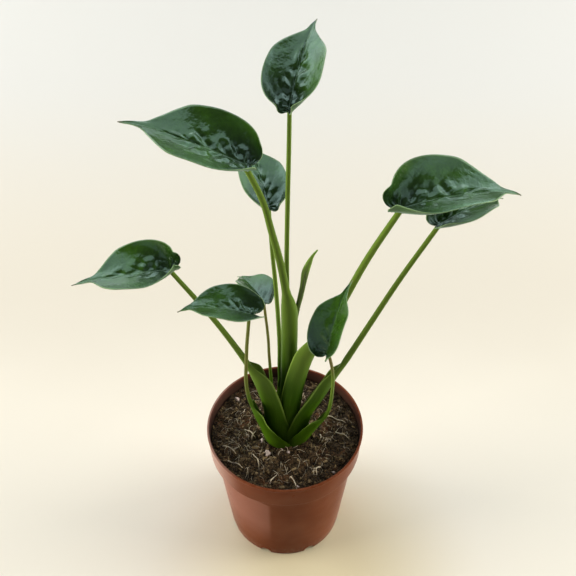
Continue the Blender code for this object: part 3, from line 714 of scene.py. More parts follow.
def crumb_finish(name, dark, light, grain_size):
    """Loose bits, each with a tone of its own between two colours."""
    finish = Finish(name)
    tone = finish.mark("tone")
    fine = finish.grain(grain_size, 4)
    colour = finish.mix(tone * 0.75 + finish.step(fine, 0.4, 0.7) * 0.25, dark, light)
    finish.shade(base_color=colour, roughness=0.80 + fine * 0.2, specular_ior_level=0.12,
                 normal=finish.bump(fine, grain_size * 0.5, 0.8))
    return finish.material


def fibre_finish(soil):
    """Dry roots and straw, from dull brown to pale."""
    finish = Finish("dry_fibre")
    colour = finish.mix(finish.step(finish.grain(0.007, 3), 0.30, 0.55), DULL_FIBRE, soil.straw)
    finish.shade(base_color=colour, roughness=0.65 + finish.grain(0.002) * 0.2,
                 normal=finish.bump(finish.grain(0.0006, 3), 0.0001, 0.6))
    return finish.material


def corm_finish():
    """The corm's brown skin, ringed with leaf scars."""
    finish = Finish("corm_skin")
    rings = finish.node("ShaderNodeTexWave", {"bands_direction": "Z"}, {
        "Vector": finish.place(), "Scale": 90, "Distortion": 3, "Detail": 3})
    colour = finish.mix(rings * 0.7 + finish.grain(0.002, 4) * 0.3, *CORM_SKIN)
    finish.shade(base_color=colour, roughness=0.75 + rings * 0.15, normal=finish.bump(rings, 0.0004, 0.8))
    return finish.material


def stalk_finish(stalks):
    """Smooth juicy stalks, finely ribbed: green at the foot, darker up the sheath, paler above it and on
    the sheath's thin edges, and bronze under some young blades."""
    finish = Finish("green_stalk")
    height = finish.along("Z")
    streaks = finish.grain(0.0009, 3, finish.surface((1, 0.035, 1)))
    blotches = finish.grain(0.010, 2)
    darker = finish.step(height + blotches * 0.012, *FOOT_GREEN_HEIGHT)
    colour = finish.mix(darker, stalks.foot, stalks.sheath)
    colour = finish.mix(finish.step(height, *LIT_SHEATH_HEIGHT) * 0.6, colour, stalks.stalk)
    colour = finish.mix(finish.step(finish.mark("rise"), *STALK_GREEN_SHARE), colour, stalks.stalk)
    colour = finish.mix(finish.step(streaks, 0.48, 0.75) * 0.12, colour, tinted(stalks.stalk, 1.45))
    edge = finish.mark("edge") * finish.step(height, *PALE_EDGE_HEIGHT)
    colour = finish.mix(edge * 0.85, colour, stalks.edge)
    bronze = finish.mark("bronze") * (finish.step(blotches, 0.3, 0.6) * 0.3 + 0.6)
    colour = finish.mix(bronze, colour, stalks.bronze)
    finish.shade(base_color=colour, roughness=0.38 + streaks * 0.12, specular_ior_level=0.06,
                 normal=finish.bump(streaks, 0.00015, 0.3))
    return finish.material


def blade_finish(blades):
    """Waxy leaf: a dark glossy upper face with paler veins and painted shade round the joint with the
    stalk, a duller underside, a thin cartilage margin and a brown tip."""
    finish = Finish("glossy_leaf")
    vein = finish.mark("vein")
    midrib = finish.mark("midrib")
    under = finish.mark("underside")
    tip = finish.mark("tip")
    flat = finish.surface()
    mottle = finish.grain(0.009, 4, flat)
    net = finish.step(finish.cells(0.0034, flat), 0.0, 0.35)
    fine = finish.grain(0.0012, 3, flat)
    upper = finish.mix(finish.step(mottle, 0.35, 0.7), tinted(blades.upper, 0.62), blades.upper)
    upper = finish.mix((1 - net) * 0.06 + vein * 0.10, upper, blades.vein)
    upper = finish.mix(midrib * 0.65, upper, blades.vein)
    # Painted shade round the joint with the stalk
    reach = finish.vector("LENGTH", finish.surface((1, 1, 0)), output="Value")
    upper = finish.mix(finish.step(reach, *LOBE_SHADE) * 0.75, upper, tinted(blades.upper, 0.2))
    pale = tinted(blades.under, 1.5)
    lower = finish.mix(finish.step(mottle, 0.3, 0.7) * 0.35, blades.under, pale)
    lower = finish.mix((1 - net) * 0.15 + vein * 0.4 + midrib * 0.6, lower, pale)
    colour = finish.mix(under, upper, lower)
    colour = finish.mix(finish.mark("margin") * 0.8, colour, blades.margin)
    colour = finish.mix(tip * 0.8, colour, TIP_BROWN)
    relief = finish.grain(0.0042, 2, flat) * 0.75 + net * 0.12 + fine * 0.08
    finish.shade(base_color=colour,
                 roughness=fine * 0.10 + blades.gloss_roughness - 0.05 + under * 0.25 + tip * 0.2,
                 specular_ior_level=0.52, specular_tint=LEAF_GLOSS,
                 sheen_weight=0.16, sheen_roughness=0.34, sheen_tint=LEAF_SHEEN,
                 normal=finish.bump(relief, 0.0009, 0.4))
    return finish.material


def new_leaf_finish(new_leaf):
    """The rolled leaf: fresh green above, olive below, with a pale free edge along the roll."""
    finish = Finish("rolled_leaf")
    streaks = finish.grain(0.0008, 3, finish.surface((1, 0.06, 1)))
    blotches = finish.grain(0.006, 3)
    fresh = finish.step(finish.mark("rise") + blotches * 0.2, 0.75, 0.95)
    colour = finish.mix(fresh, new_leaf.shaded, new_leaf.fresh)
    paler = tinted(new_leaf.fresh, 1.5)
    colour = finish.mix(finish.step(streaks, 0.45, 0.75) * 0.4, colour, paler)
    colour = finish.mix(finish.mark("edge") * 0.8, colour, paler)
    finish.shade(base_color=colour, roughness=0.36 + streaks * 0.12, specular_ior_level=0.25,
                 normal=finish.bump(streaks, 0.0002, 0.5))
    return finish.material


def floor_finish(studio):
    """A plain pale floor with painted light on it: warmer towards the pot, lighter round it, and a painted
    pool of amber light just in front of it.
    """
    finish = Finish("pale_floor")
    depth = finish.along("Y") + finish.grain(0.25, 2) * 0.1
    front = finish.vector("DISTANCE", finish.place(), PAINTED_AMBER_POOL_CENTRE, "Value")
    # Painted light: warmer towards the front and lighter round the pot
    colour = finish.mix(finish.step(depth, *PAINTED_WARM_FLOOR_Y), studio.floor, tinted(studio.floor, *PAINTED_WARM_FLOOR))
    colour = finish.mix(finish.step(depth, *PAINTED_LIGHT_FLOOR_Y), colour, tinted(studio.floor, *PAINTED_LIGHT_FLOOR))
    # A painted pool of amber light just in front of the pot
    amber = finish.step(front, *PAINTED_AMBER_POOL_REACH) * 0.8
    colour = finish.mix(amber, colour, tinted(studio.floor, *PAINTED_AMBER_POOL))
    finish.shade(base_color=colour, roughness=0.7, specular_ior_level=0.2)
    return finish.material


def start_fresh():
    """Deselects everything, so that the next operator acts on the new piece alone."""
    if bpy.context.mode != "OBJECT":
        bpy.ops.object.mode_set(mode="OBJECT")
    bpy.ops.object.select_all(action="DESELECT")


def pick(piece):
    """Selects a piece alone, for the next operators."""
    start_fresh()
    bpy.context.view_layer.objects.active = piece
    piece.select_set(True)


def bring_in(name, data):
    """Adds a piece made from a mesh or a curve, selected alone."""
    piece = bpy.data.objects.new(name, data)
    bpy.context.scene.collection.objects.link(piece)
    pick(piece)
    return piece


def edit_all():
    """Goes into edit mode with the whole piece selected."""
    bpy.ops.object.mode_set(mode="EDIT")
    bpy.ops.mesh.select_all(action="SELECT")


def close_edit():
    """Turns all of the piece's faces outwards and leaves edit mode."""
    bpy.ops.mesh.select_all(action="SELECT")
    bpy.ops.mesh.normals_make_consistent(inside=False)
    bpy.ops.object.mode_set(mode="OBJECT")


def keep(piece, name, slot, finish, *nodes):
    """Names a finished piece, gives it its finish and hands it to the frame in place of its nodes."""
    piece.name = name
    piece.data.name = name
    piece.data.materials.clear()
    piece.data.materials.append(finish)
    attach(piece, "root")
    if nodes:
        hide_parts(*nodes)
    return piece


def write_points(mesh, points):
    """Moves a mesh's points to an array of places."""
    mesh.vertices.foreach_set("co", np.asarray(points, np.float32).ravel())
    mesh.update()


def read_points(mesh):
    """A mesh's points as an array."""
    points = np.zeros(len(mesh.vertices) * 3, np.float32)
    mesh.vertices.foreach_get("co", points)
    return points.reshape(-1, 3).astype(float)


def write_mark(mesh, name, values):
    """Stores a number, or a vector of three, on each of a mesh's points."""
    values = np.asarray(values, np.float32)
    vectors = values.ndim == 2
    layer = mesh.attributes.new(name, "FLOAT_VECTOR" if vectors else "FLOAT", "POINT")
    layer.data.foreach_set("vector" if vectors else "value", values.ravel())


def read_mark(mesh, name):
    """A number stored on each of a mesh's points, as an array."""
    values = np.zeros(len(mesh.vertices), np.float32)
    mesh.attributes[name].data.foreach_get("value", values)
    return values.astype(float)


def ramp(value, start, width):
    """0 up to the start, 1 from a width further on, and smooth between."""
    share = min(max((value - start) / width, 0), 1)
    return share * share * (3 - 2 * share)


def curve_point(points, share):
    """A point at a share of the way along a smooth curve that passes through the points."""
    ends = [2 * points[0] - points[1], *points, 2 * points[-1] - points[-2]]
    spans = len(points) - 1
    span = min(int(share * spans), spans - 1)
    t = share * spans - span
    a, b, c, d = ends[span:span + 4]
    squared = 2 * a - 5 * b + 4 * c - d
    cubed = 3 * b - a - 3 * c + d
    return 0.5 * (2 * b + (c - a) * t + squared * t ** 2 + cubed * t ** 3)


def rounded(corners, distance, steps=3):
    """A profile whose corners are rounded off over a distance, or over less where a side is short."""
    points = [corners[0]]
    for before, corner, after in zip(corners, corners[1:], corners[2:]):
        here = Vector(corner)
        back, ahead = Vector(before) - here, Vector(after) - here
        start = here + back.normalized() * min(distance, back.length * ROUNDING_SHARE)
        end = here + ahead.normalized() * min(distance, ahead.length * ROUNDING_SHARE)
        for k in range(steps + 1):
            t = k / steps
            points.append(tuple(start * (1 - t) ** 2 + here * 2 * t * (1 - t) + end * t ** 2))
    return [*points, corners[-1]]


def pot_wall_radius(pot, height):
    """Outer radius of the pot's tapered body below the collar."""
    return FOOT_RADIUS + (BODY_TOP_RADIUS - FOOT_RADIUS) * height / (pot.height - pot.collar_height)


def pot_profile(pot):
    """(radius, height) of the pot's skin, from the recess in its foot over the rim to its inner floor."""
    collar_foot = pot.height - pot.collar_height
    body_top = collar_foot - COLLAR_UNDERCUT
    step_foot = INNER_STEP_HEIGHT - INNER_STEP_FALL
    lip_inside = pot.rim_radius - LIP_WIDTH
    lip_foot = pot.height - LIP_HEIGHT
    body = [body_top * k / BODY_RINGS for k in range(1, BODY_RINGS)]
    return rounded([
        (FOOT_RECESS_RADIUS - FOOT_RECESS, FOOT_RECESS),
        (FOOT_RECESS_RADIUS, FOOT_RECESS),
        (FOOT_RECESS_RADIUS + FOOT_RECESS, 0),
        (FOOT_RADIUS, 0),
        *((pot_wall_radius(pot, height), height) for height in [*body, body_top]),
        (COLLAR_FOOT_RADIUS, collar_foot),
        (pot.rim_radius - LIP_DRAFT, lip_foot),
        (pot.rim_radius, lip_foot + LIP_EDGE),
        (pot.rim_radius, pot.height),
        (lip_inside, pot.height),
        (lip_inside, lip_foot),
        (COLLAR_FOOT_RADIUS - pot.wall, INNER_STEP_HEIGHT),
        (pot_wall_radius(pot, step_foot) - pot.wall, step_foot),
        (pot_wall_radius(pot, POT_FLOOR) - pot.wall, POT_FLOOR),
        (FOOT_RECESS_RADIUS, POT_FLOOR),
    ], POT_ROUNDING)


def draw_up(profile, steps):
    """A turned body, drawn up ring by ring from a disc: the profile's first point is the disc's edge."""
    start_fresh()
    radius, height = profile[0]
    bpy.ops.mesh.primitive_circle_add(vertices=steps, radius=radius, fill_type="NGON",
                                      location=(0, 0, height))
    edit_all()
    for next_radius, next_height in profile[1:]:
        bpy.ops.mesh.extrude_region_move(TRANSFORM_OT_translate={"value": (0, 0, next_height - height)})
        scale = next_radius / radius
        bpy.ops.transform.resize(value=(scale, scale, 1), center_override=(0, 0, next_height))
        radius, height = next_radius, next_height
    close_edit()
    bpy.ops.object.transform_apply(location=True, rotation=False, scale=False)
    return bpy.context.object


def notch_cutter():
    """Round bars that cut the drainage notches through the foot of the wall."""
    start_fresh()
    middle = (NOTCH_INNER + NOTCH_OUTER) / 2
    bars = []
    for k in range(NOTCH_COUNT):
        turn = NOTCH_TURN + k * math.tau / NOTCH_COUNT
        bpy.ops.mesh.primitive_cylinder_add(
            vertices=NOTCH_BAR_POINTS, radius=NOTCH_RADIUS, depth=NOTCH_OUTER - NOTCH_INNER,
            location=(middle * math.cos(turn), middle * math.sin(turn), 0),
            rotation=(0, math.pi / 2, turn))
        bars.append(bpy.context.object)
    for bar in bars:
        bar.select_set(True)
    bpy.ops.object.join()
    bpy.ops.object.transform_apply()
    return bpy.context.object


def cut(piece, cutter):
    """Cuts a piece by another, which is then removed."""
    pick(piece)
    hollow = piece.modifiers.new("cut", "BOOLEAN")
    hollow.operation = "DIFFERENCE"
    hollow.object = cutter
    bpy.ops.object.modifier_apply(modifier=hollow.name)
    bpy.data.objects.remove(cutter, do_unlink=True)


def make_pot(pot):
    """The moulded pot: tapered body, collar with a small lip, notched foot and faintly wavy wall."""
    shell = draw_up(pot_profile(pot), POT_STEPS)
    for point in shell.data.vertices:
        outward = Vector((point.co.x, point.co.y, 0)).normalized()
        point.co += outward * noise.noise(point.co / POT_WAVE_SIZE) * POT_WAVE
    cut(shell, notch_cutter())
    bpy.ops.object.shade_smooth_by_angle(angle=POT_CREASE)
    return keep(shell, "pot_shell", "pot", plastic_finish(pot), "pot")


def soil_base(x, y):
    """Height of the potting mix without its clods: a shallow crown with gentle lumps."""
    radius = math.hypot(x, y)
    share = min(max((radius - CLUMP_RADIUS) / (SOIL_RADIUS - CLUMP_RADIUS), 0), 1)
    lumps = sum(part * math.sin(along_x * x + along_y * y + start)
                for part, along_x, along_y, start in SOIL_WAVES)
    fade = ramp(SOIL_RADIUS - radius, 0, SOIL_EDGE_FADE)
    return SOIL_CROWN - (SOIL_CROWN - SOIL_EDGE) * share ** 2 + SOIL_LUMP * lumps * fade


def soil_height(x, y):
    """Height of the potting mix: its gentle lumps, then clods, then grains."""
    spot = Vector((x, y, 0))
    clods = CLOD_LEVEL - noise.voronoi(spot / CLOD_SIZE)[0][0]
    grains = GRAIN_LEVEL - noise.voronoi(spot / GRAIN_SIZE)[0][0]
    hollows = HOLLOW_SHARE * noise.noise(spot / CLOD_SIZE * HOLLOW_SCALE)
    return soil_base(x, y) + CLOD_HEIGHT * (clods + hollows) + GRAIN_HEIGHT * grains


def make_soil(soil, pot):
    """The potting mix: a square grid drawn round to a disc, heaped into clods and closed downwards."""
    start_fresh()
    bpy.ops.mesh.primitive_grid_add(x_subdivisions=SOIL_CELLS, y_subdivisions=SOIL_CELLS, size=2)
    body = bpy.context.object
    for point in body.data.vertices:
        x = SOIL_RADIUS * point.co.x * math.sqrt(1 - point.co.y ** 2 / 2)
        y = SOIL_RADIUS * point.co.y * math.sqrt(1 - point.co.x ** 2 / 2)
        point.co = (x, y, soil_height(x, y))
    edit_all()
    bpy.ops.mesh.region_to_loop()
    step_foot = INNER_STEP_HEIGHT - INNER_STEP_FALL
    step_radius, floor_radius = (pot_wall_radius(pot, height) - pot.wall - SOIL_GAP
                                 for height in (step_foot, POT_FLOOR))
    radius = SOIL_RADIUS
    for next_radius, height in ((SOIL_RADIUS, INNER_STEP_HEIGHT), (step_radius, step_foot),
                                (floor_radius, POT_FLOOR + SOIL_FLOOR_GAP)):
        scale = next_radius / radius
        bpy.ops.mesh.extrude_region_move(TRANSFORM_OT_translate={"value": (0, 0, 0)})
        bpy.ops.transform.resize(value=(scale, scale, 0), center_override=(0, 0, height))
        radius = next_radius
    bpy.ops.mesh.edge_face_add()
    close_edit()
    bpy.ops.object.shade_smooth_by_angle(angle=SOIL_CREASE)
    return keep(body, "potting_mix", "soil", peat_finish(soil), "soil")


def spot_on_soil(chance, outer=BITS_RADIUS):
    """A random place on the potting mix, outside the clump of stalks."""
    radius = math.sqrt(chance.uniform(CLUMP_RADIUS ** 2, outer ** 2))
    turn = chance.uniform(0, math.tau)
    return CLUMP_X * (1 - radius / outer) + radius * math.cos(turn), radius * math.sin(turn)


def any_turn(chance):
    """A random turn about all three axes."""
    return [chance.uniform(0, math.tau) for _ in range(3)]


def some_size(chance, sizes):
    """A random size: the least, how much is added at most, and the power that keeps the large ones rare."""
    least, more, power = sizes
    return least + more * chance.random() ** power


def taken_apart(piece, moved):
    """The points of a piece, each moved, and its faces; the piece itself is then removed."""
    points = [tuple(moved(point.co)) for point in piece.data.vertices]
    faces = [tuple(face.vertices) for face in piece.data.polygons]
    bpy.data.objects.remove(piece, do_unlink=True)
    return np.array(points), faces


def lump_model(subdivisions, roughness, seed):
    """Points and faces of a rough lump of radius 1."""
    start_fresh()
    bpy.ops.mesh.primitive_ico_sphere_add(subdivisions=subdivisions, radius=1)
    start = Vector((seed, 0, 0))
    return taken_apart(bpy.context.object,
                       lambda point: point * (1 + roughness * noise.noise(point * LUMP_SCALE + start)))


def chip_model(seed):
    """Points and faces of a splintered chip of bark, 2 long, with a rough broken outline."""
    start_fresh()
    bpy.ops.mesh.primitive_cube_add(size=2)
    edit_all()
    bpy.ops.mesh.subdivide(number_cuts=1)
    bpy.ops.object.mode_set(mode="OBJECT")
    start = Vector((seed, seed, 0))

    def splintered(point):
        ragged = noise.noise_vector(point * CHIP_RAGS_SCALE + start)
        return point * (CHIP_MIDDLE - CHIP_TAPER * abs(point.x)) + ragged * CHIP_RAGGED

    return taken_apart(bpy.context.object, splintered)


def scatter(name, models, places, finish, smooth=True):
    """A piece of many copies. A place is where, how turned, how large along X, Y and Z, and its tone."""
    points, faces, tones = [], [], []
    start = 0
    for k, (spot, turn, size, tone) in enumerate(places):
        model_points, model_faces = models[k % len(models)]
        matrix = np.array(Euler(turn).to_matrix()) * np.array(size)
        points.append(model_points @ matrix.T + np.array(spot))
        faces += [tuple(start + corner for corner in face) for face in model_faces]
        tones += [tone] * len(model_points)
        start += len(model_points)
    mesh = bpy.data.meshes.new(name)
    mesh.from_pydata(np.concatenate(points).tolist(), [], faces)
    write_mark(mesh, "tone", tones)
    if smooth:
        mesh.shade_smooth()
    return keep(bring_in(name, mesh), name, "soil", finish)


def resting(x, y, height):
    """A place on the potting mix, raised by a height."""
    return x, y, soil_height(x, y) + height


def make_crumbs(soil, chance):
    """Loose crumbs of peat that lie on the potting mix."""
    models = [lump_model(1, CRUMB_ROUGHNESS, LUMP_SEED_STEP * k) for k in range(CRUMB_MODELS)]
    places = []
    for _ in range(soil.crumbs):
        x, y = spot_on_soil(chance)
        radius = some_size(chance, CRUMB_RADIUS)
        size = [radius * chance.uniform(*CRUMB_STRETCH) for _ in range(3)]
        turn = any_turn(chance)
        tone = chance.random() ** CRUMB_TONE_POWER
        places.append((resting(x, y, radius * CRUMB_SEAT), turn, size, tone))
    finish = crumb_finish("dry_crumbs", tinted(soil.dark, 1.3), tinted(soil.light, 1.5), 0.0007)
    return scatter("soil_crumbs", models, places, finish)


def make_chips(soil, chance):
    """Chips of bark and wood, palest at the left and darker in front."""
    models = [chip_model(CHIP_SEED_STEP * k) for k in range(CHIP_MODELS)]
    places = []
    for _ in range(soil.chips):
        x, y = spot_on_soil(chance)
        length = some_size(chance, CHIP_LENGTH)
        size = (length, length * chance.uniform(*CHIP_WIDTH), length * chance.uniform(*CHIP_THICKNESS))
        turn = (chance.uniform(*CHIP_TILT), chance.uniform(*CHIP_TILT), chance.uniform(0, math.tau))
        tone = chance.random() ** (CHIP_TONE_POWER_LEFT if x < 0 else CHIP_TONE_POWER_RIGHT)
        tone *= CHIP_FRONT_TONE if y < CHIP_FRONT else 1
        places.append((resting(x, y, size[2] * CHIP_SEAT), turn, size, tone))
    return scatter("bark_chips", models, places, crumb_finish("bark", *BARK, 0.0009), smooth=False)


def make_stones(chance):
    """A few pale stones and husks."""
    models = [lump_model(2, STONE_ROUGHNESS, STONE_SEED + LUMP_SEED_STEP * k) for k in range(STONE_MODELS)]
    places = []
    for stone in PALE_STONES:
        x, y, radius = (measure * MM for measure in stone)
        size = [radius * chance.uniform(*STONE_STRETCH) for _ in range(3)]
        turn = any_turn(chance)
        places.append((resting(x, y, radius * STONE_SEAT), turn, size, chance.uniform(*STONE_TONE)))
    return scatter("pale_stones", models, places, crumb_finish("pale_stone", *STONE, 0.0008))


def arch(lift, k, steps):
    """How high a strand lies at one of its steps: low at both ends and higher in the middle."""
    low, more = lift
    return low + more * math.sin(math.pi * k / steps)


def fibre_path(chance):
    """Points of one fine fibre that lies on the potting mix and bends at random."""
    x, y = spot_on_soil(chance, FIBRES_RADIUS)
    turn = chance.uniform(0, math.tau)
    bend = chance.uniform(*FIBRE_BEND)
    step = chance.uniform(*FIBRE_LENGTH) / FIBRE_STEPS
    path = []
    for k in range(FIBRE_STEPS + 1):
        if math.hypot(x, y) < SOIL_RADIUS - FIBRE_MARGIN:
            path.append(resting(x, y, arch(FIBRE_LIFT, k, FIBRE_STEPS)))
        turn += bend + chance.uniform(*FIBRE_KINK)
        x += step * math.cos(turn)
        y += step * math.sin(turn)
    return path


def root_path(points):
    """Points of a root or straw that stands out on the potting mix."""
    anchors = [Vector((x * MM, y * MM)) for x, y in points]
    steps = ROOT_STEPS_PER_SPAN * (len(anchors) - 1)
    path = []
    for k in range(steps + 1):
        x, y = curve_point(anchors, k / steps)
        path.append((x, y, soil_base(x, y) + arch(ROOT_LIFT, k, steps)))
    return path


def make_fibres(soil, chance):
    """Dry roots and straws: bevelled curves made one mesh."""
    data = bpy.data.curves.new("dry_fibres", "CURVE")
    data.dimensions = "3D"
    data.bevel_depth = 1
    data.bevel_resolution = 1
    data.use_fill_caps = True
    paths = [(root_path(points), ROOT_RADIUS) for points in ROOTS]
    paths += [(fibre_path(chance), chance.uniform(*FIBRE_BODY_RADIUS)) for _ in range(soil.fibres)]
    for path, radius in paths:
        if len(path) < 3:
            continue
        strand = data.splines.new("POLY")
        strand.points.add(len(path) - 1)
        for k, (point, spot) in enumerate(zip(strand.points, path)):
            point.co = (*spot, 1)
            point.radius = radius * (1 - FIBRE_TAPER * k / len(path))
    bring_in("dry_fibres", data)
    bpy.ops.object.convert(target="MESH")
    edit_all()
    bpy.ops.mesh.remove_doubles(threshold=FIBRE_MERGE_DISTANCE)
    close_edit()
    bpy.ops.object.shade_smooth()
    return keep(bpy.context.object, "dry_fibres", "soil", fibre_finish(soil))


def loft(name, rings, marks):
    """A closed body through rings of points, with the first and the last ring closed across."""
    count = len(rings[0])
    faces = []
    for low in range(0, (len(rings) - 1) * count, count):
        for k in range(count):
            after = (k + 1) % count
            faces.append((low + k, low + after, low + count + after, low + count + k))
    last = (len(rings) - 1) * count
    for k in range(count // 2 - 1):
        faces.append((count - 1 - k, count - 2 - k, k + 1, k))
        faces.append((last + k, last + k + 1, last + count - 2 - k, last + count - 1 - k))
    mesh = bpy.data.meshes.new(name)
    mesh.from_pydata([tuple(point) for ring in rings for point in ring], [], faces)
    for mark, values in marks.items():
        write_mark(mesh, mark, values)
    body = bring_in(name, mesh)
    edit_all()
    close_edit()
    bpy.ops.object.shade_smooth_by_angle(angle=LOFT_CREASE)
    return body


def direction(axis, share):
    """The direction of an axis at a share of the way along it; at its foot it stands upright."""
    if share == 0:
        return Vector((0, 0, 1))
    ahead = curve_point(axis, min(share + AIM_STEP, 1))
    return (ahead - curve_point(axis, max(share - AIM_STEP, 0))).normalized()


def share_at_height(axis, height):
    """The share of the way along an axis at which it passes a height."""
    low, high = 0, 1
    for _ in range(24):
        middle = (low + high) / 2
        if curve_point(axis, middle).z < height:
            low = middle
        else:
            high = middle
    return low


def section_shares(mouth, closed):
    """Where a stalk's sections stand: along its sheath, through its mouth, and up the round stalk."""
    shares = [mouth * k / SHEATH_SECTIONS for k in range(SHEATH_SECTIONS)]
    shares += [mouth + (closed - mouth) * k / MOUTH_SECTIONS for k in range(MOUTH_SECTIONS)]
    return shares + [closed + (1 - closed) * k / PETIOLE_SECTIONS for k in range(PETIOLE_SECTIONS + 1)]


def stalk_section(place, across, wrap, half_angle, wound, wall, radius, closed, length):
    """One section of a stalk, an open sheath that turns into a round stalk as closed goes from 0 to 1: its
    points, how near each is to the sheath's free edge, and its place on the unrolled surface."""
    count = STALK_HALF_POINTS
    ring, edges, surface = [], [], []
    back = wrap - radius
    for side in (1, -1):
        for k in range(count):
            share = 2 * k / (count - 1) - 1
            angle = side * share * half_angle
            depth = -SHEATH_RIB * math.cos(angle * SHEATH_RIBS)
            if side < 0:
                depth = SHEATH_EDGE + (wall - SHEATH_EDGE) * math.cos(share * math.pi / 2) ** 2
            reach, spot = wrap - depth, angle + wound
            sheath = (reach * math.cos(spot) - back, reach * math.sin(spot))
            turn = (k + 0.5) * math.pi / count - side * math.pi / 2
            stalk = (radius * math.cos(turn), radius * math.sin(turn))
            out, sideways = (a + (b - a) * closed for a, b in zip(sheath, stalk))
            ring.append(place + across[0] * out + across[1] * sideways)
            edges.append(ramp(abs(share), *SHEATH_EDGE_BAND) * (1 - closed))
            surface.append((angle * wrap, length, side * MM))
    return ring, edges, surface


def stalk_axis(name, stalk, blades):
    """The points of a stalk's axis in metres, from its foot on the corm into the underside of its blade."""
    shape = BLADES[name]
    faces = math.radians(stalk["faces"])
    inset = (stalk["wrap"] - stalk["neck"]) * MM
    foot = Vector((CLUMP_X + inset * math.cos(faces), inset * math.sin(faces), CORM_TOP + FOOT_GAP))
    under = blade_turn(shape).col[2] * (blades.thickness + stalk["tip"] * MM * STALK_SEAT)
    end = Vector(shape["at"]) * MM - under
    return [foot, *(Vector(point) * MM for point in stalk["route"]), end]


def make_stalk(name, stalk, finish, blades):
    """A leaf's stalk: a sheath that wraps the younger stalks at its foot and closes into a round stalk."""
    axis = stalk_axis(name, stalk, blades)
    faces = math.radians(stalk["faces"])
    facing = Vector((math.cos(faces), math.sin(faces), 0))
    foot, mouth = axis[0].z, stalk["mouth"] * MM
    mouth_share, closed_share = (share_at_height(axis, height) for height in (mouth, stalk["closed"] * MM))
    bronze, bronze_start = BRONZE.get(name, (0, 0))
    rings = []
    marks = {"edge": [], "surface": [], "rise": [], "bronze": []}
    length, before = 0, axis[0]
    for share in section_shares(mouth_share, closed_share):
        place = curve_point(axis, share)
        length += (place - before).length
        before = place
        tangent = direction(axis, share)
        out = (facing - tangent * facing.dot(tangent)).normalized()
        closed = ramp(share, mouth_share, closed_share - mouth_share)
        slim = max(0, (share - closed_share) / (1 - closed_share))
        radius = (stalk["neck"] + (stalk["tip"] - stalk["neck"]) * slim) * MM
        fill = 1 - ramp(place.z, foot, FOOT_FILL_HEIGHT)
        wrap = stalk["wrap"] * MM * (1 - stalk["slims"] * min((place.z - foot) / (mouth - foot), 1))
        sway = noise.noise(Vector((length * SHEATH_WAVES_PER_METRE, stalk["faces"], 0)))
        spread = FOOT_SPREAD.get(name, FOOT_SPREAD_OF_OTHERS) * fill
        ring, edges, surface = stalk_section(
            place + out * FOOT_SWELL.get(name, 0) * fill, (out, tangent.cross(out)),
            wrap + FOOT_FLARE.get(name, 0) * fill,
            math.radians(stalk["half_angle"]) * (1 + SHEATH_WAVE * sway + spread),
            FOOT_TURN.get(name, 0) * fill, stalk["wall"] * MM, radius, closed, length)
        rings.append(ring)
        marks["edge"] += edges
        marks["surface"] += surface
        marks["rise"] += [share] * len(ring)
        marks["bronze"] += [bronze * ramp(share, bronze_start, BRONZE_FADE)] * len(ring)
    top = rings[-1]
    for turn in CAP_TURNS:
        rise = tangent * stalk["tip"] * MM * math.sin(turn) * CAP_RISE
        rings.append([place + (point - place) * math.cos(turn) + rise for point in top])
        for mark in marks.values():
            mark += mark[-len(top):]
    name = f"stalk_{name}"
    return keep(loft(f"leaf_{name}", rings, marks), f"leaf_{name}", "stalks", finish, name)


def blade_outline(drip, ear):
    """The flat blade's left margin from the notch to the tip, as shares of its length and half width."""
    body = 1 - drip
    shoulder = 0.48
    taper = body - shoulder
    points = [(-SINUS, 0), (-0.16 * ear, 0.12), (-0.21 * ear, 0.33), (-0.15 * ear, 0.60), (0.05, 0.85),
              (0.31, 1), (0.50, 0.93), (shoulder + 0.44 * taper, 0.72), (shoulder + 0.82 * taper, 0.36),
              (body + 0.02, 0.16), (body + 0.5 * drip, 0.068), (1, 0)]
    return [Vector(point) for point in points]


def bent(length, first, more):
    """Reach and rise of a line of some length whose slope starts at first and grows by more per metre."""
    if abs(more * length) < 0.00001:
        return length * math.cos(first), length * math.sin(first)
    last = first + more * length
    return (math.sin(last) - math.sin(first)) / more, (math.cos(first) - math.cos(last)) / more


def midrib_frame(shape, share):
    """Forward, left and up directions at a share of the midrib, before the blade is turned to its place."""
    tail = max(0, (share - TAIL_START) / (1 - TAIL_START))
    droop = -shape["arch"] * min(share / ARCH_END, 1) - shape["tail"] * tail
    pitch = math.radians(droop)
    yaw = math.radians(shape["side"] * share * share)
    roll = math.radians(shape["twist"] * share)
    ahead = Vector((math.cos(pitch) * math.cos(yaw), math.cos(pitch) * math.sin(yaw), math.sin(pitch)))
    left = Vector((-math.sin(yaw), math.cos(yaw), 0))
    up = ahead.cross(left)
    return ahead, left * math.cos(roll) + up * math.sin(roll), up * math.cos(roll) - left * math.sin(roll)


def midrib_points(shape):
    """The midrib's curve as points at even shares of its length."""
    length = shape["length"] * MM
    points = [Vector((0, 0, 0))]
    for k in range(MIDRIB_STEPS):
        ahead = midrib_frame(shape, (k + 0.5) / MIDRIB_STEPS)[0]
        points.append(points[-1] + ahead * length / MIDRIB_STEPS)
    return points


def along(points, share):
    """A point at a share of the way along evenly spaced points."""
    spot = min(max(share, 0), 1) * (len(points) - 1)
    k = min(int(spot), len(points) - 2)
    return points[k].lerp(points[k + 1], spot - k)


def flat_place(shape, outline, row, spread):
    """Where a point lies on the flat blade: ahead of the stalk, and out from the midrib, in metres. Its row
    runs from the notch to the tip, and its spread from the midrib to the margin."""
    length = shape["length"] * MM
    margin = curve_point(outline, row)
    if row < FAN_SHARE:
        start = -SINUS * length * (1 - row / FAN_SHARE)
    else:
        start = length * ((row - FAN_SHARE) / (1 - FAN_SHARE)) ** LADDER_POWER
    x = min(start + (margin.x * length - start) * spread, length)
    return x, max(margin.y, 0) * shape["width"] * MM / 2 * spread


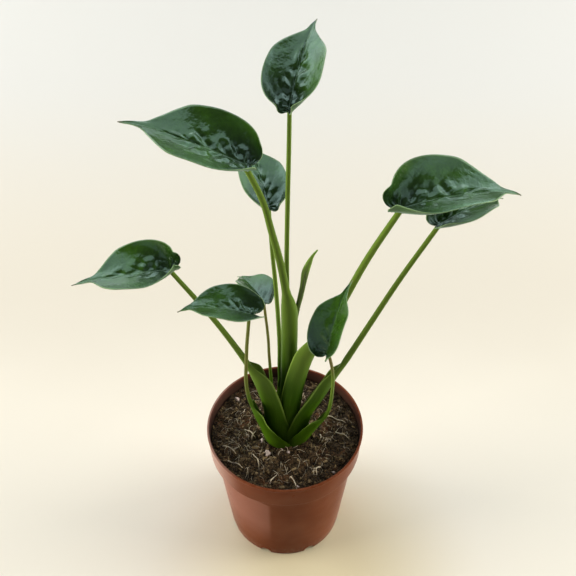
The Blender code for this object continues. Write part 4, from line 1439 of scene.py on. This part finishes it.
def blade_point(shape, midrib, x, y, side):
    """A point of the bent blade from its place on the flat one. side is 1 to the left, -1 to the right."""
    length = shape["length"] * MM
    half_width = shape["width"] * MM / 2
    fold, cup, lobe = (math.radians(shape[key]) for key in ("fold", "cup", "lobe"))
    cup = cup * (1 + side * shape["skew"]) / half_width
    share = max(x, 0) / length
    fade = 1 - TIP_FLATTENING * share ** TIP_FLATTENING_POWER
    ahead, left, up = midrib_frame(shape, share)
    reach, rise = bent(y, fold * fade, cup * fade)
    ribbed = along(midrib, share) + ahead * min(x, 0) + left * reach * side + up * rise

    angle = math.atan2(y, x)
    curl = lobe / half_width * ramp(angle, FUNNEL_START, FUNNEL_END - FUNNEL_START)
    reach, rise = bent(math.hypot(x, y), fold * math.sin(angle), cup * math.sin(angle) ** 2 + curl)
    funnel = Vector((reach * math.cos(angle), reach * math.sin(angle) * side, rise))
    return ribbed.lerp(funnel, ramp(x / length, RIBBED_FROM, RIBBED_TO - RIBBED_FROM))


def blade_turn(shape):
    """The rotation that sets a blade to its heading, pitch and roll, as columns ahead, left and up."""
    heading, pitch, roll = (math.radians(shape[key]) for key in ("heading", "pitch", "roll"))
    level = Vector((math.cos(heading), math.sin(heading), 0))
    ahead = level * math.cos(pitch) + Vector((0, 0, math.sin(pitch)))
    left = Vector((-math.sin(heading), math.cos(heading), 0))
    up = ahead.cross(left)
    rolled = left * math.cos(roll) + up * math.sin(roll)
    return Matrix((ahead, rolled, ahead.cross(rolled))).transposed()


def side_vein(row, spread, side):
    """How far a point is from a side vein, from 0 on it to 0.5 between two, and the number of its strip."""
    phase = (row - VEIN_SWEEP * spread ** VEIN_SWEEP_POWER) / VEIN_SPACING + VEIN_STAGGER * side
    return abs(phase - round(phase)), math.floor(phase)


def bell(value, width):
    """1 at zero, and less on both sides over about a width."""
    return math.exp(-(value / width) ** 2)


def blade_relief(name, shape, row, spread, side, x, y, seed, pucker):
    """How far a point of the blade rises above the smooth blade: puckers between the side veins, the outer
    part bent back down, the midrib's groove and the wavy margin."""
    length = shape["length"] * MM
    share = x / length
    gap, number = side_vein(row, spread, side)
    belt = ramp(spread, *PUCKER_BELT_START) * (1 - ramp(spread, *PUCKER_BELT_END))
    ends = 1 - ramp(share, *PUCKER_TIP)
    least, more = PUFF_OWN
    own = least + more * noise.noise(Vector((number * STRIP_SEED_STEP, side, seed)))
    small = noise.noise(Vector((x / PUCKER_SIZE, y * side / PUCKER_SIZE, seed * PUCKER_SEED_STEP)))
    puff = math.sin(math.pi * gap) ** 2 * own * PUFF_SHARE + PUCKER_SHARE * small
    calm = CALM.get(name, (1, 1))[0 if side > 0 else 1]
    height = pucker * calm * length * belt * ends * (puff - VEIN_GROOVE * bell(gap, VEIN_WIDTH))
    height -= RECURVE.get(name, 0) * length * ramp(spread, *RECURVE_BELT) * ends
    height -= MIDRIB_GROOVE * bell(y, MIDRIB_HALF_WIDTH) * ramp(share, *MIDRIB_GROOVE_START)
    wave = math.sin(math.tau * (row * MARGIN_WAVES + MARGIN_SEED_STEP * seed) + side)
    wave *= ramp(spread, *MARGIN_WAVE_BELT) * ramp(row, *MARGIN_WAVE_START)
    return height + MARGIN_WAVE * wave


def blade_marks(name, shape, row, spread, side, x, y, seed, pucker):
    """What a point of the blade carries: its rise above the smooth blade, how far the ribs stand out under
    it, and the marks that the finish reads."""
    share = x / (shape["length"] * MM)
    tip_radius = STALKS[name]["tip"] * MM
    width = tip_radius * (1 - RIDGE_NARROWING * max(share, 0) ** RIDGE_NARROWING_POWER)
    depth = RIDGE_TIP + (tip_radius * RIDGE_DEPTH - RIDGE_TIP) * max(1 - max(share, 0), 0) ** RIDGE_POWER
    reach = math.hypot(min(x, 0), y) / width
    ridge = depth * math.sqrt(max(1 - reach ** 2, 0)) * (1 - ramp(share, *RIDGE_END))
    fine_vein = bell(side_vein(row, spread, side)[0], VEIN_WIDTH)
    fine_vein *= ramp(spread, *FINE_VEIN_START) * (1 - ramp(spread, *FINE_VEIN_END))
    return dict(
        rise=blade_relief(name, shape, row, spread, side, x, y, seed, pucker),
        ridge=max(ridge, SIDE_RIDGE * fine_vein * (1 - spread)),
        vein=fine_vein,
        midrib=bell(y, MIDRIB_HALF_WIDTH * (MIDRIB_TAPER - share)) * ramp(x, *MIDRIB_START),
        margin=ramp(spread, *MARGIN_BAND),
        tip=ramp(share, *TIP_BAND),
        surface=(x, y * side, seed * SURFACE_SEED_STEP))


def unit(vectors):
    """Vectors of length 1 in the same directions."""
    return vectors / np.maximum(np.linalg.norm(vectors, axis=-1, keepdims=True), TINY)


def blade_sheet(name, shape, pucker, seed):
    """Places of the blade's upper face, row by row from the notch to the tip, and the marks on them."""
    outline = blade_outline(shape["drip"], shape["ear"])
    midrib = midrib_points(shape)
    turn = blade_turn(shape)
    at = Vector(shape["at"]) * MM
    columns = 2 * BLADE_COLUMNS + 1
    places = np.zeros((BLADE_ROWS + 1, columns, 3))
    marks = {}
    for i in range(BLADE_ROWS + 1):
        row = i / BLADE_ROWS
        for j in range(columns):
            across = j / BLADE_COLUMNS - 1
            side = math.copysign(1, across)
            spread = abs(across) ** COLUMN_POWER
            x, y = flat_place(shape, outline, row, spread)
            places[i, j] = turn @ blade_point(shape, midrib, x, y, side) + at
            found = blade_marks(name, shape, row, spread, side, x, y, seed, pucker)
            for mark, value in found.items():
                marks.setdefault(mark, []).append(value)
    normals = np.cross(np.gradient(places, axis=0), np.gradient(places, axis=1))
    normals[0] = normals[1]
    normals[-1] = normals[-2]
    rise = np.array(marks.pop("rise")).reshape(BLADE_ROWS + 1, columns, 1)
    return (places + unit(normals) * rise).reshape(-1, 3), marks


def make_blade(name, shape, blades, finish, seed):
    """A glossy heart-shaped blade: a grid bent to its form and puckered, then given thickness and ribs."""
    points, marks = blade_sheet(name, shape, blades.pucker, seed)
    start_fresh()
    bpy.ops.mesh.primitive_grid_add(x_subdivisions=2 * BLADE_COLUMNS, y_subdivisions=BLADE_ROWS, size=2)
    blade = bpy.context.object
    mesh = blade.data
    grid = read_points(mesh)
    rows = np.rint((grid[:, 1] + 1) / 2 * BLADE_ROWS).astype(int)
    columns = np.rint((grid[:, 0] + 1) * BLADE_COLUMNS).astype(int)
    order = rows * (2 * BLADE_COLUMNS + 1) + columns
    write_points(mesh, points[order])
    for mark, values in marks.items():
        write_mark(mesh, mark, np.array(values)[order])
    edit_all()
    bpy.ops.mesh.flip_normals()
    bpy.ops.mesh.remove_doubles(threshold=MERGE_DISTANCE)
    bpy.ops.object.mode_set(mode="OBJECT")

    count = len(mesh.vertices)
    skin = blade.modifiers.new("thickness", "SOLIDIFY")
    skin.thickness = blades.thickness
    skin.offset = -1
    bpy.ops.object.modifier_apply(modifier=skin.name)
    mesh = blade.data
    both = read_points(mesh)
    both[count:] += unit(both[count:] - both[:count]) * read_mark(mesh, "ridge")[count:, None]
    write_points(mesh, both)
    mesh.attributes.remove(mesh.attributes["ridge"])
    write_mark(mesh, "underside", np.arange(len(both)) >= count)
    bpy.ops.object.shade_smooth()
    return keep(blade, f"leaf_blade_{name}", "blades", finish, f"blade_{name}")


def rolled_section(place, side, front, radius, twist):
    """One section of the rolled leaf: its face wound outwards, and back along the inside of the sheet."""
    ring, edges, surface = [], [], []
    for wall in (0, min(ROLL_WALL, radius * ROLL_WALL_SHARE)):
        for k in range(ROLL_POINTS):
            share = k / (ROLL_POINTS - 1)
            if wall:
                share = 1 - share
            angle = twist + share * ROLL_TURNS * math.tau
            reach = radius * (1 - ROLL_SHRINK * (1 - share)) - wall
            ring.append(place + (side * math.cos(angle) + front * math.sin(angle)) * reach)
            edges.append(ramp(share, *ROLL_EDGE_BAND))
            surface.append((angle * radius, place.z, 0))
    return ring, edges, surface


def make_new_leaf(new_leaf):
    """The new leaf, still rolled into a slim twisted cigar with a drawn-out tip."""
    points = [Vector(point) * MM for _, point in SPIKE]
    radii = [Vector((radius * MM, 0)) for radius, _ in SPIKE]
    steps = ROLL_SECTIONS_PER_SPAN * (len(SPIKE) - 1)
    rings = []
    marks = {"edge": [], "surface": [], "rise": []}
    for k in range(steps + 1):
        share = k / steps
        tangent = direction(points, share)
        side = Vector((0, 1, 0)).cross(tangent).normalized()
        ring, edges, surface = rolled_section(
            curve_point(points, share), side, tangent.cross(side) * ROLL_DEPTH, curve_point(radii, share).x,
            ROLL_START + ROLL_TWIST * (share - ROLL_STRAIGHT_SHARE))
        rings.append(ring)
        marks["edge"] += edges
        marks["surface"] += surface
        marks["rise"] += [share] * len(ring)
    body = loft("rolled_leaf", rings, marks)
    return keep(body, "rolled_leaf", "new_leaf", new_leaf_finish(new_leaf), "rolled_new_leaf")


def softbox(name, place, size, radiance, colour):
    """A large soft light of even brightness that is aimed at the middle of the plant."""
    turn = (AIM - Vector(place)).to_track_quat("-Z", "Y").to_euler()
    bpy.ops.object.light_add(type="AREA", location=place, rotation=turn)
    lamp = bpy.context.object
    lamp.name = name
    lamp.data.shape = "RECTANGLE"
    lamp.data.size, lamp.data.size_y = size
    lamp.data.energy = radiance * math.pi * size[0] * size[1]
    lamp.data.color = colour
    lamp.visible_camera = False
    return lamp


def make_studio(studio):
    """A plain pale floor, soft lights all round, and the camera in front and above."""
    start_fresh()
    bpy.ops.mesh.primitive_plane_add(size=FLOOR_SIZE)
    floor = bpy.context.object
    floor.name = "floor"
    floor.data.materials.append(floor_finish(studio))
    for name, place, size, share, setting in LIGHTS:
        mirrored = setting in ("window", "sky")
        lamp = softbox(name, place, size, getattr(studio, f"{setting}_radiance") * share,
                       studio.window if mirrored else WARM_LIGHT)
        lamp.visible_glossy = mirrored
        lamp.visible_diffuse = setting != "sky"
    world = bpy.data.worlds.new("studio_air")
    world.use_nodes = True
    air = world.node_tree.nodes["Background"]
    air.inputs["Color"].default_value = (*AIR, 1)
    air.inputs["Strength"].default_value = studio.ambient
    scene = bpy.context.scene
    scene.world = world
    scene.view_settings.view_transform = "Standard"
    bpy.ops.object.camera_add(location=CAMERA_PLACE, rotation=(CAMERA_TILT, 0, 0))
    camera = bpy.context.object
    camera.data.lens = CAMERA_LENS
    camera.data.sensor_width = CAMERA_SENSOR
    camera.data.clip_start = CAMERA_CLIP_START
    scene.camera = camera


class ALOCASIA_OT_pot(Operator):
    """Models the nursery pot"""

    bl_idname = "alocasia.pot"
    bl_label = "Pot"

    def execute(self, context):
        make_pot(context.scene.alocasia_pot)
        return {"FINISHED"}


class ALOCASIA_OT_soil(Operator):
    """Fills the pot with potting mix"""

    bl_idname = "alocasia.soil"
    bl_label = "Potting mix"

    def execute(self, context):
        make_soil(context.scene.alocasia_soil, context.scene.alocasia_pot)
        return {"FINISHED"}


class ALOCASIA_OT_soil_bits(Operator):
    """Strews crumbs, bark chips, pale stones and dry fibres on the potting mix"""

    bl_idname = "alocasia.soil_bits"
    bl_label = "Crumbs, chips and fibres"

    def execute(self, context):
        soil = context.scene.alocasia_soil
        chance = random.Random(soil.seed)
        noise.seed_set(soil.seed + 1)
        make_crumbs(soil, chance)
        make_chips(soil, chance)
        make_stones(chance)
        make_fibres(soil, chance)
        return {"FINISHED"}


class ALOCASIA_OT_corm(Operator):
    """Gives the buried corm its skin"""

    bl_idname = "alocasia.corm"
    bl_label = "Corm"

    def execute(self, context):
        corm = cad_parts["corm"]
        corm.data.materials.clear()
        corm.data.materials.append(corm_finish())
        return {"FINISHED"}


class ALOCASIA_OT_stalks(Operator):
    """Models the nine stalks with their sheaths"""

    bl_idname = "alocasia.stalks"
    bl_label = "Stalks"

    def execute(self, context):
        finish = stalk_finish(context.scene.alocasia_stalks)
        for name, stalk in STALKS.items():
            make_stalk(name, stalk, finish, context.scene.alocasia_blades)
        return {"FINISHED"}


class ALOCASIA_OT_blades(Operator):
    """Models the nine blades"""

    bl_idname = "alocasia.blades"
    bl_label = "Blades"

    def execute(self, context):
        blades = context.scene.alocasia_blades
        finish = blade_finish(blades)
        for seed, (name, shape) in enumerate(BLADES.items()):
            make_blade(name, shape, blades, finish, seed)
        return {"FINISHED"}


class ALOCASIA_OT_new_leaf(Operator):
    """Models the rolled new leaf"""

    bl_idname = "alocasia.new_leaf"
    bl_label = "New leaf"

    def execute(self, context):
        make_new_leaf(context.scene.alocasia_new_leaf)
        return {"FINISHED"}


class ALOCASIA_OT_studio(Operator):
    """Sets up the floor, the lights and the camera"""

    bl_idname = "alocasia.studio"
    bl_label = "Studio"

    def execute(self, context):
        make_studio(context.scene.alocasia_studio)
        return {"FINISHED"}


# The panel's rows: a heading, the settings under it and the operators that read them
SECTIONS = [
    ("Pot", "alocasia_pot", ("alocasia.pot",)),
    ("Potting mix", "alocasia_soil", ("alocasia.soil", "alocasia.soil_bits", "alocasia.corm")),
    ("Stalks", "alocasia_stalks", ("alocasia.stalks",)),
    ("Blades", "alocasia_blades", ("alocasia.blades",)),
    ("New leaf", "alocasia_new_leaf", ("alocasia.new_leaf",)),
    ("Studio", "alocasia_studio", ("alocasia.studio",)),
]


class ALOCASIA_PT_panel(Panel):
    """Lists the plant's settings and operators"""

    bl_idname = "ALOCASIA_PT_panel"
    bl_label = "Potted alocasia"
    bl_space_type = "VIEW_3D"
    bl_region_type = "UI"
    bl_category = "Alocasia"

    def draw(self, context):
        for heading, settings_name, operators in SECTIONS:
            box = self.layout.box()
            box.label(text=heading)
            settings = getattr(context.scene, settings_name)
            for name in settings.__annotations__:
                box.prop(settings, name)
            for operator in operators:
                box.operator(operator)


SETTINGS = {
    "alocasia_pot": PotSettings,
    "alocasia_soil": SoilSettings,
    "alocasia_stalks": StalkSettings,
    "alocasia_blades": BladeSettings,
    "alocasia_new_leaf": NewLeafSettings,
    "alocasia_studio": StudioSettings,
}
CLASSES = (
    *SETTINGS.values(),
    ALOCASIA_OT_pot,
    ALOCASIA_OT_soil,
    ALOCASIA_OT_soil_bits,
    ALOCASIA_OT_corm,
    ALOCASIA_OT_stalks,
    ALOCASIA_OT_blades,
    ALOCASIA_OT_new_leaf,
    ALOCASIA_OT_studio,
    ALOCASIA_PT_panel,
)


def register():
    for item in CLASSES:
        bpy.utils.register_class(item)
    for name, settings in SETTINGS.items():
        setattr(bpy.types.Scene, name, PointerProperty(type=settings))


def unregister():
    for name in SETTINGS:
        delattr(bpy.types.Scene, name)
    for item in reversed(CLASSES):
        bpy.utils.unregister_class(item)


def main():
    """Registers the add-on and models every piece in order."""
    register()
    bpy.ops.alocasia.pot()
    bpy.ops.alocasia.soil()
    bpy.ops.alocasia.soil_bits()
    bpy.ops.alocasia.corm()
    bpy.ops.alocasia.stalks()
    bpy.ops.alocasia.blades()
    bpy.ops.alocasia.new_leaf()
    bpy.ops.alocasia.studio()


if __name__ == "__main__":
    main()
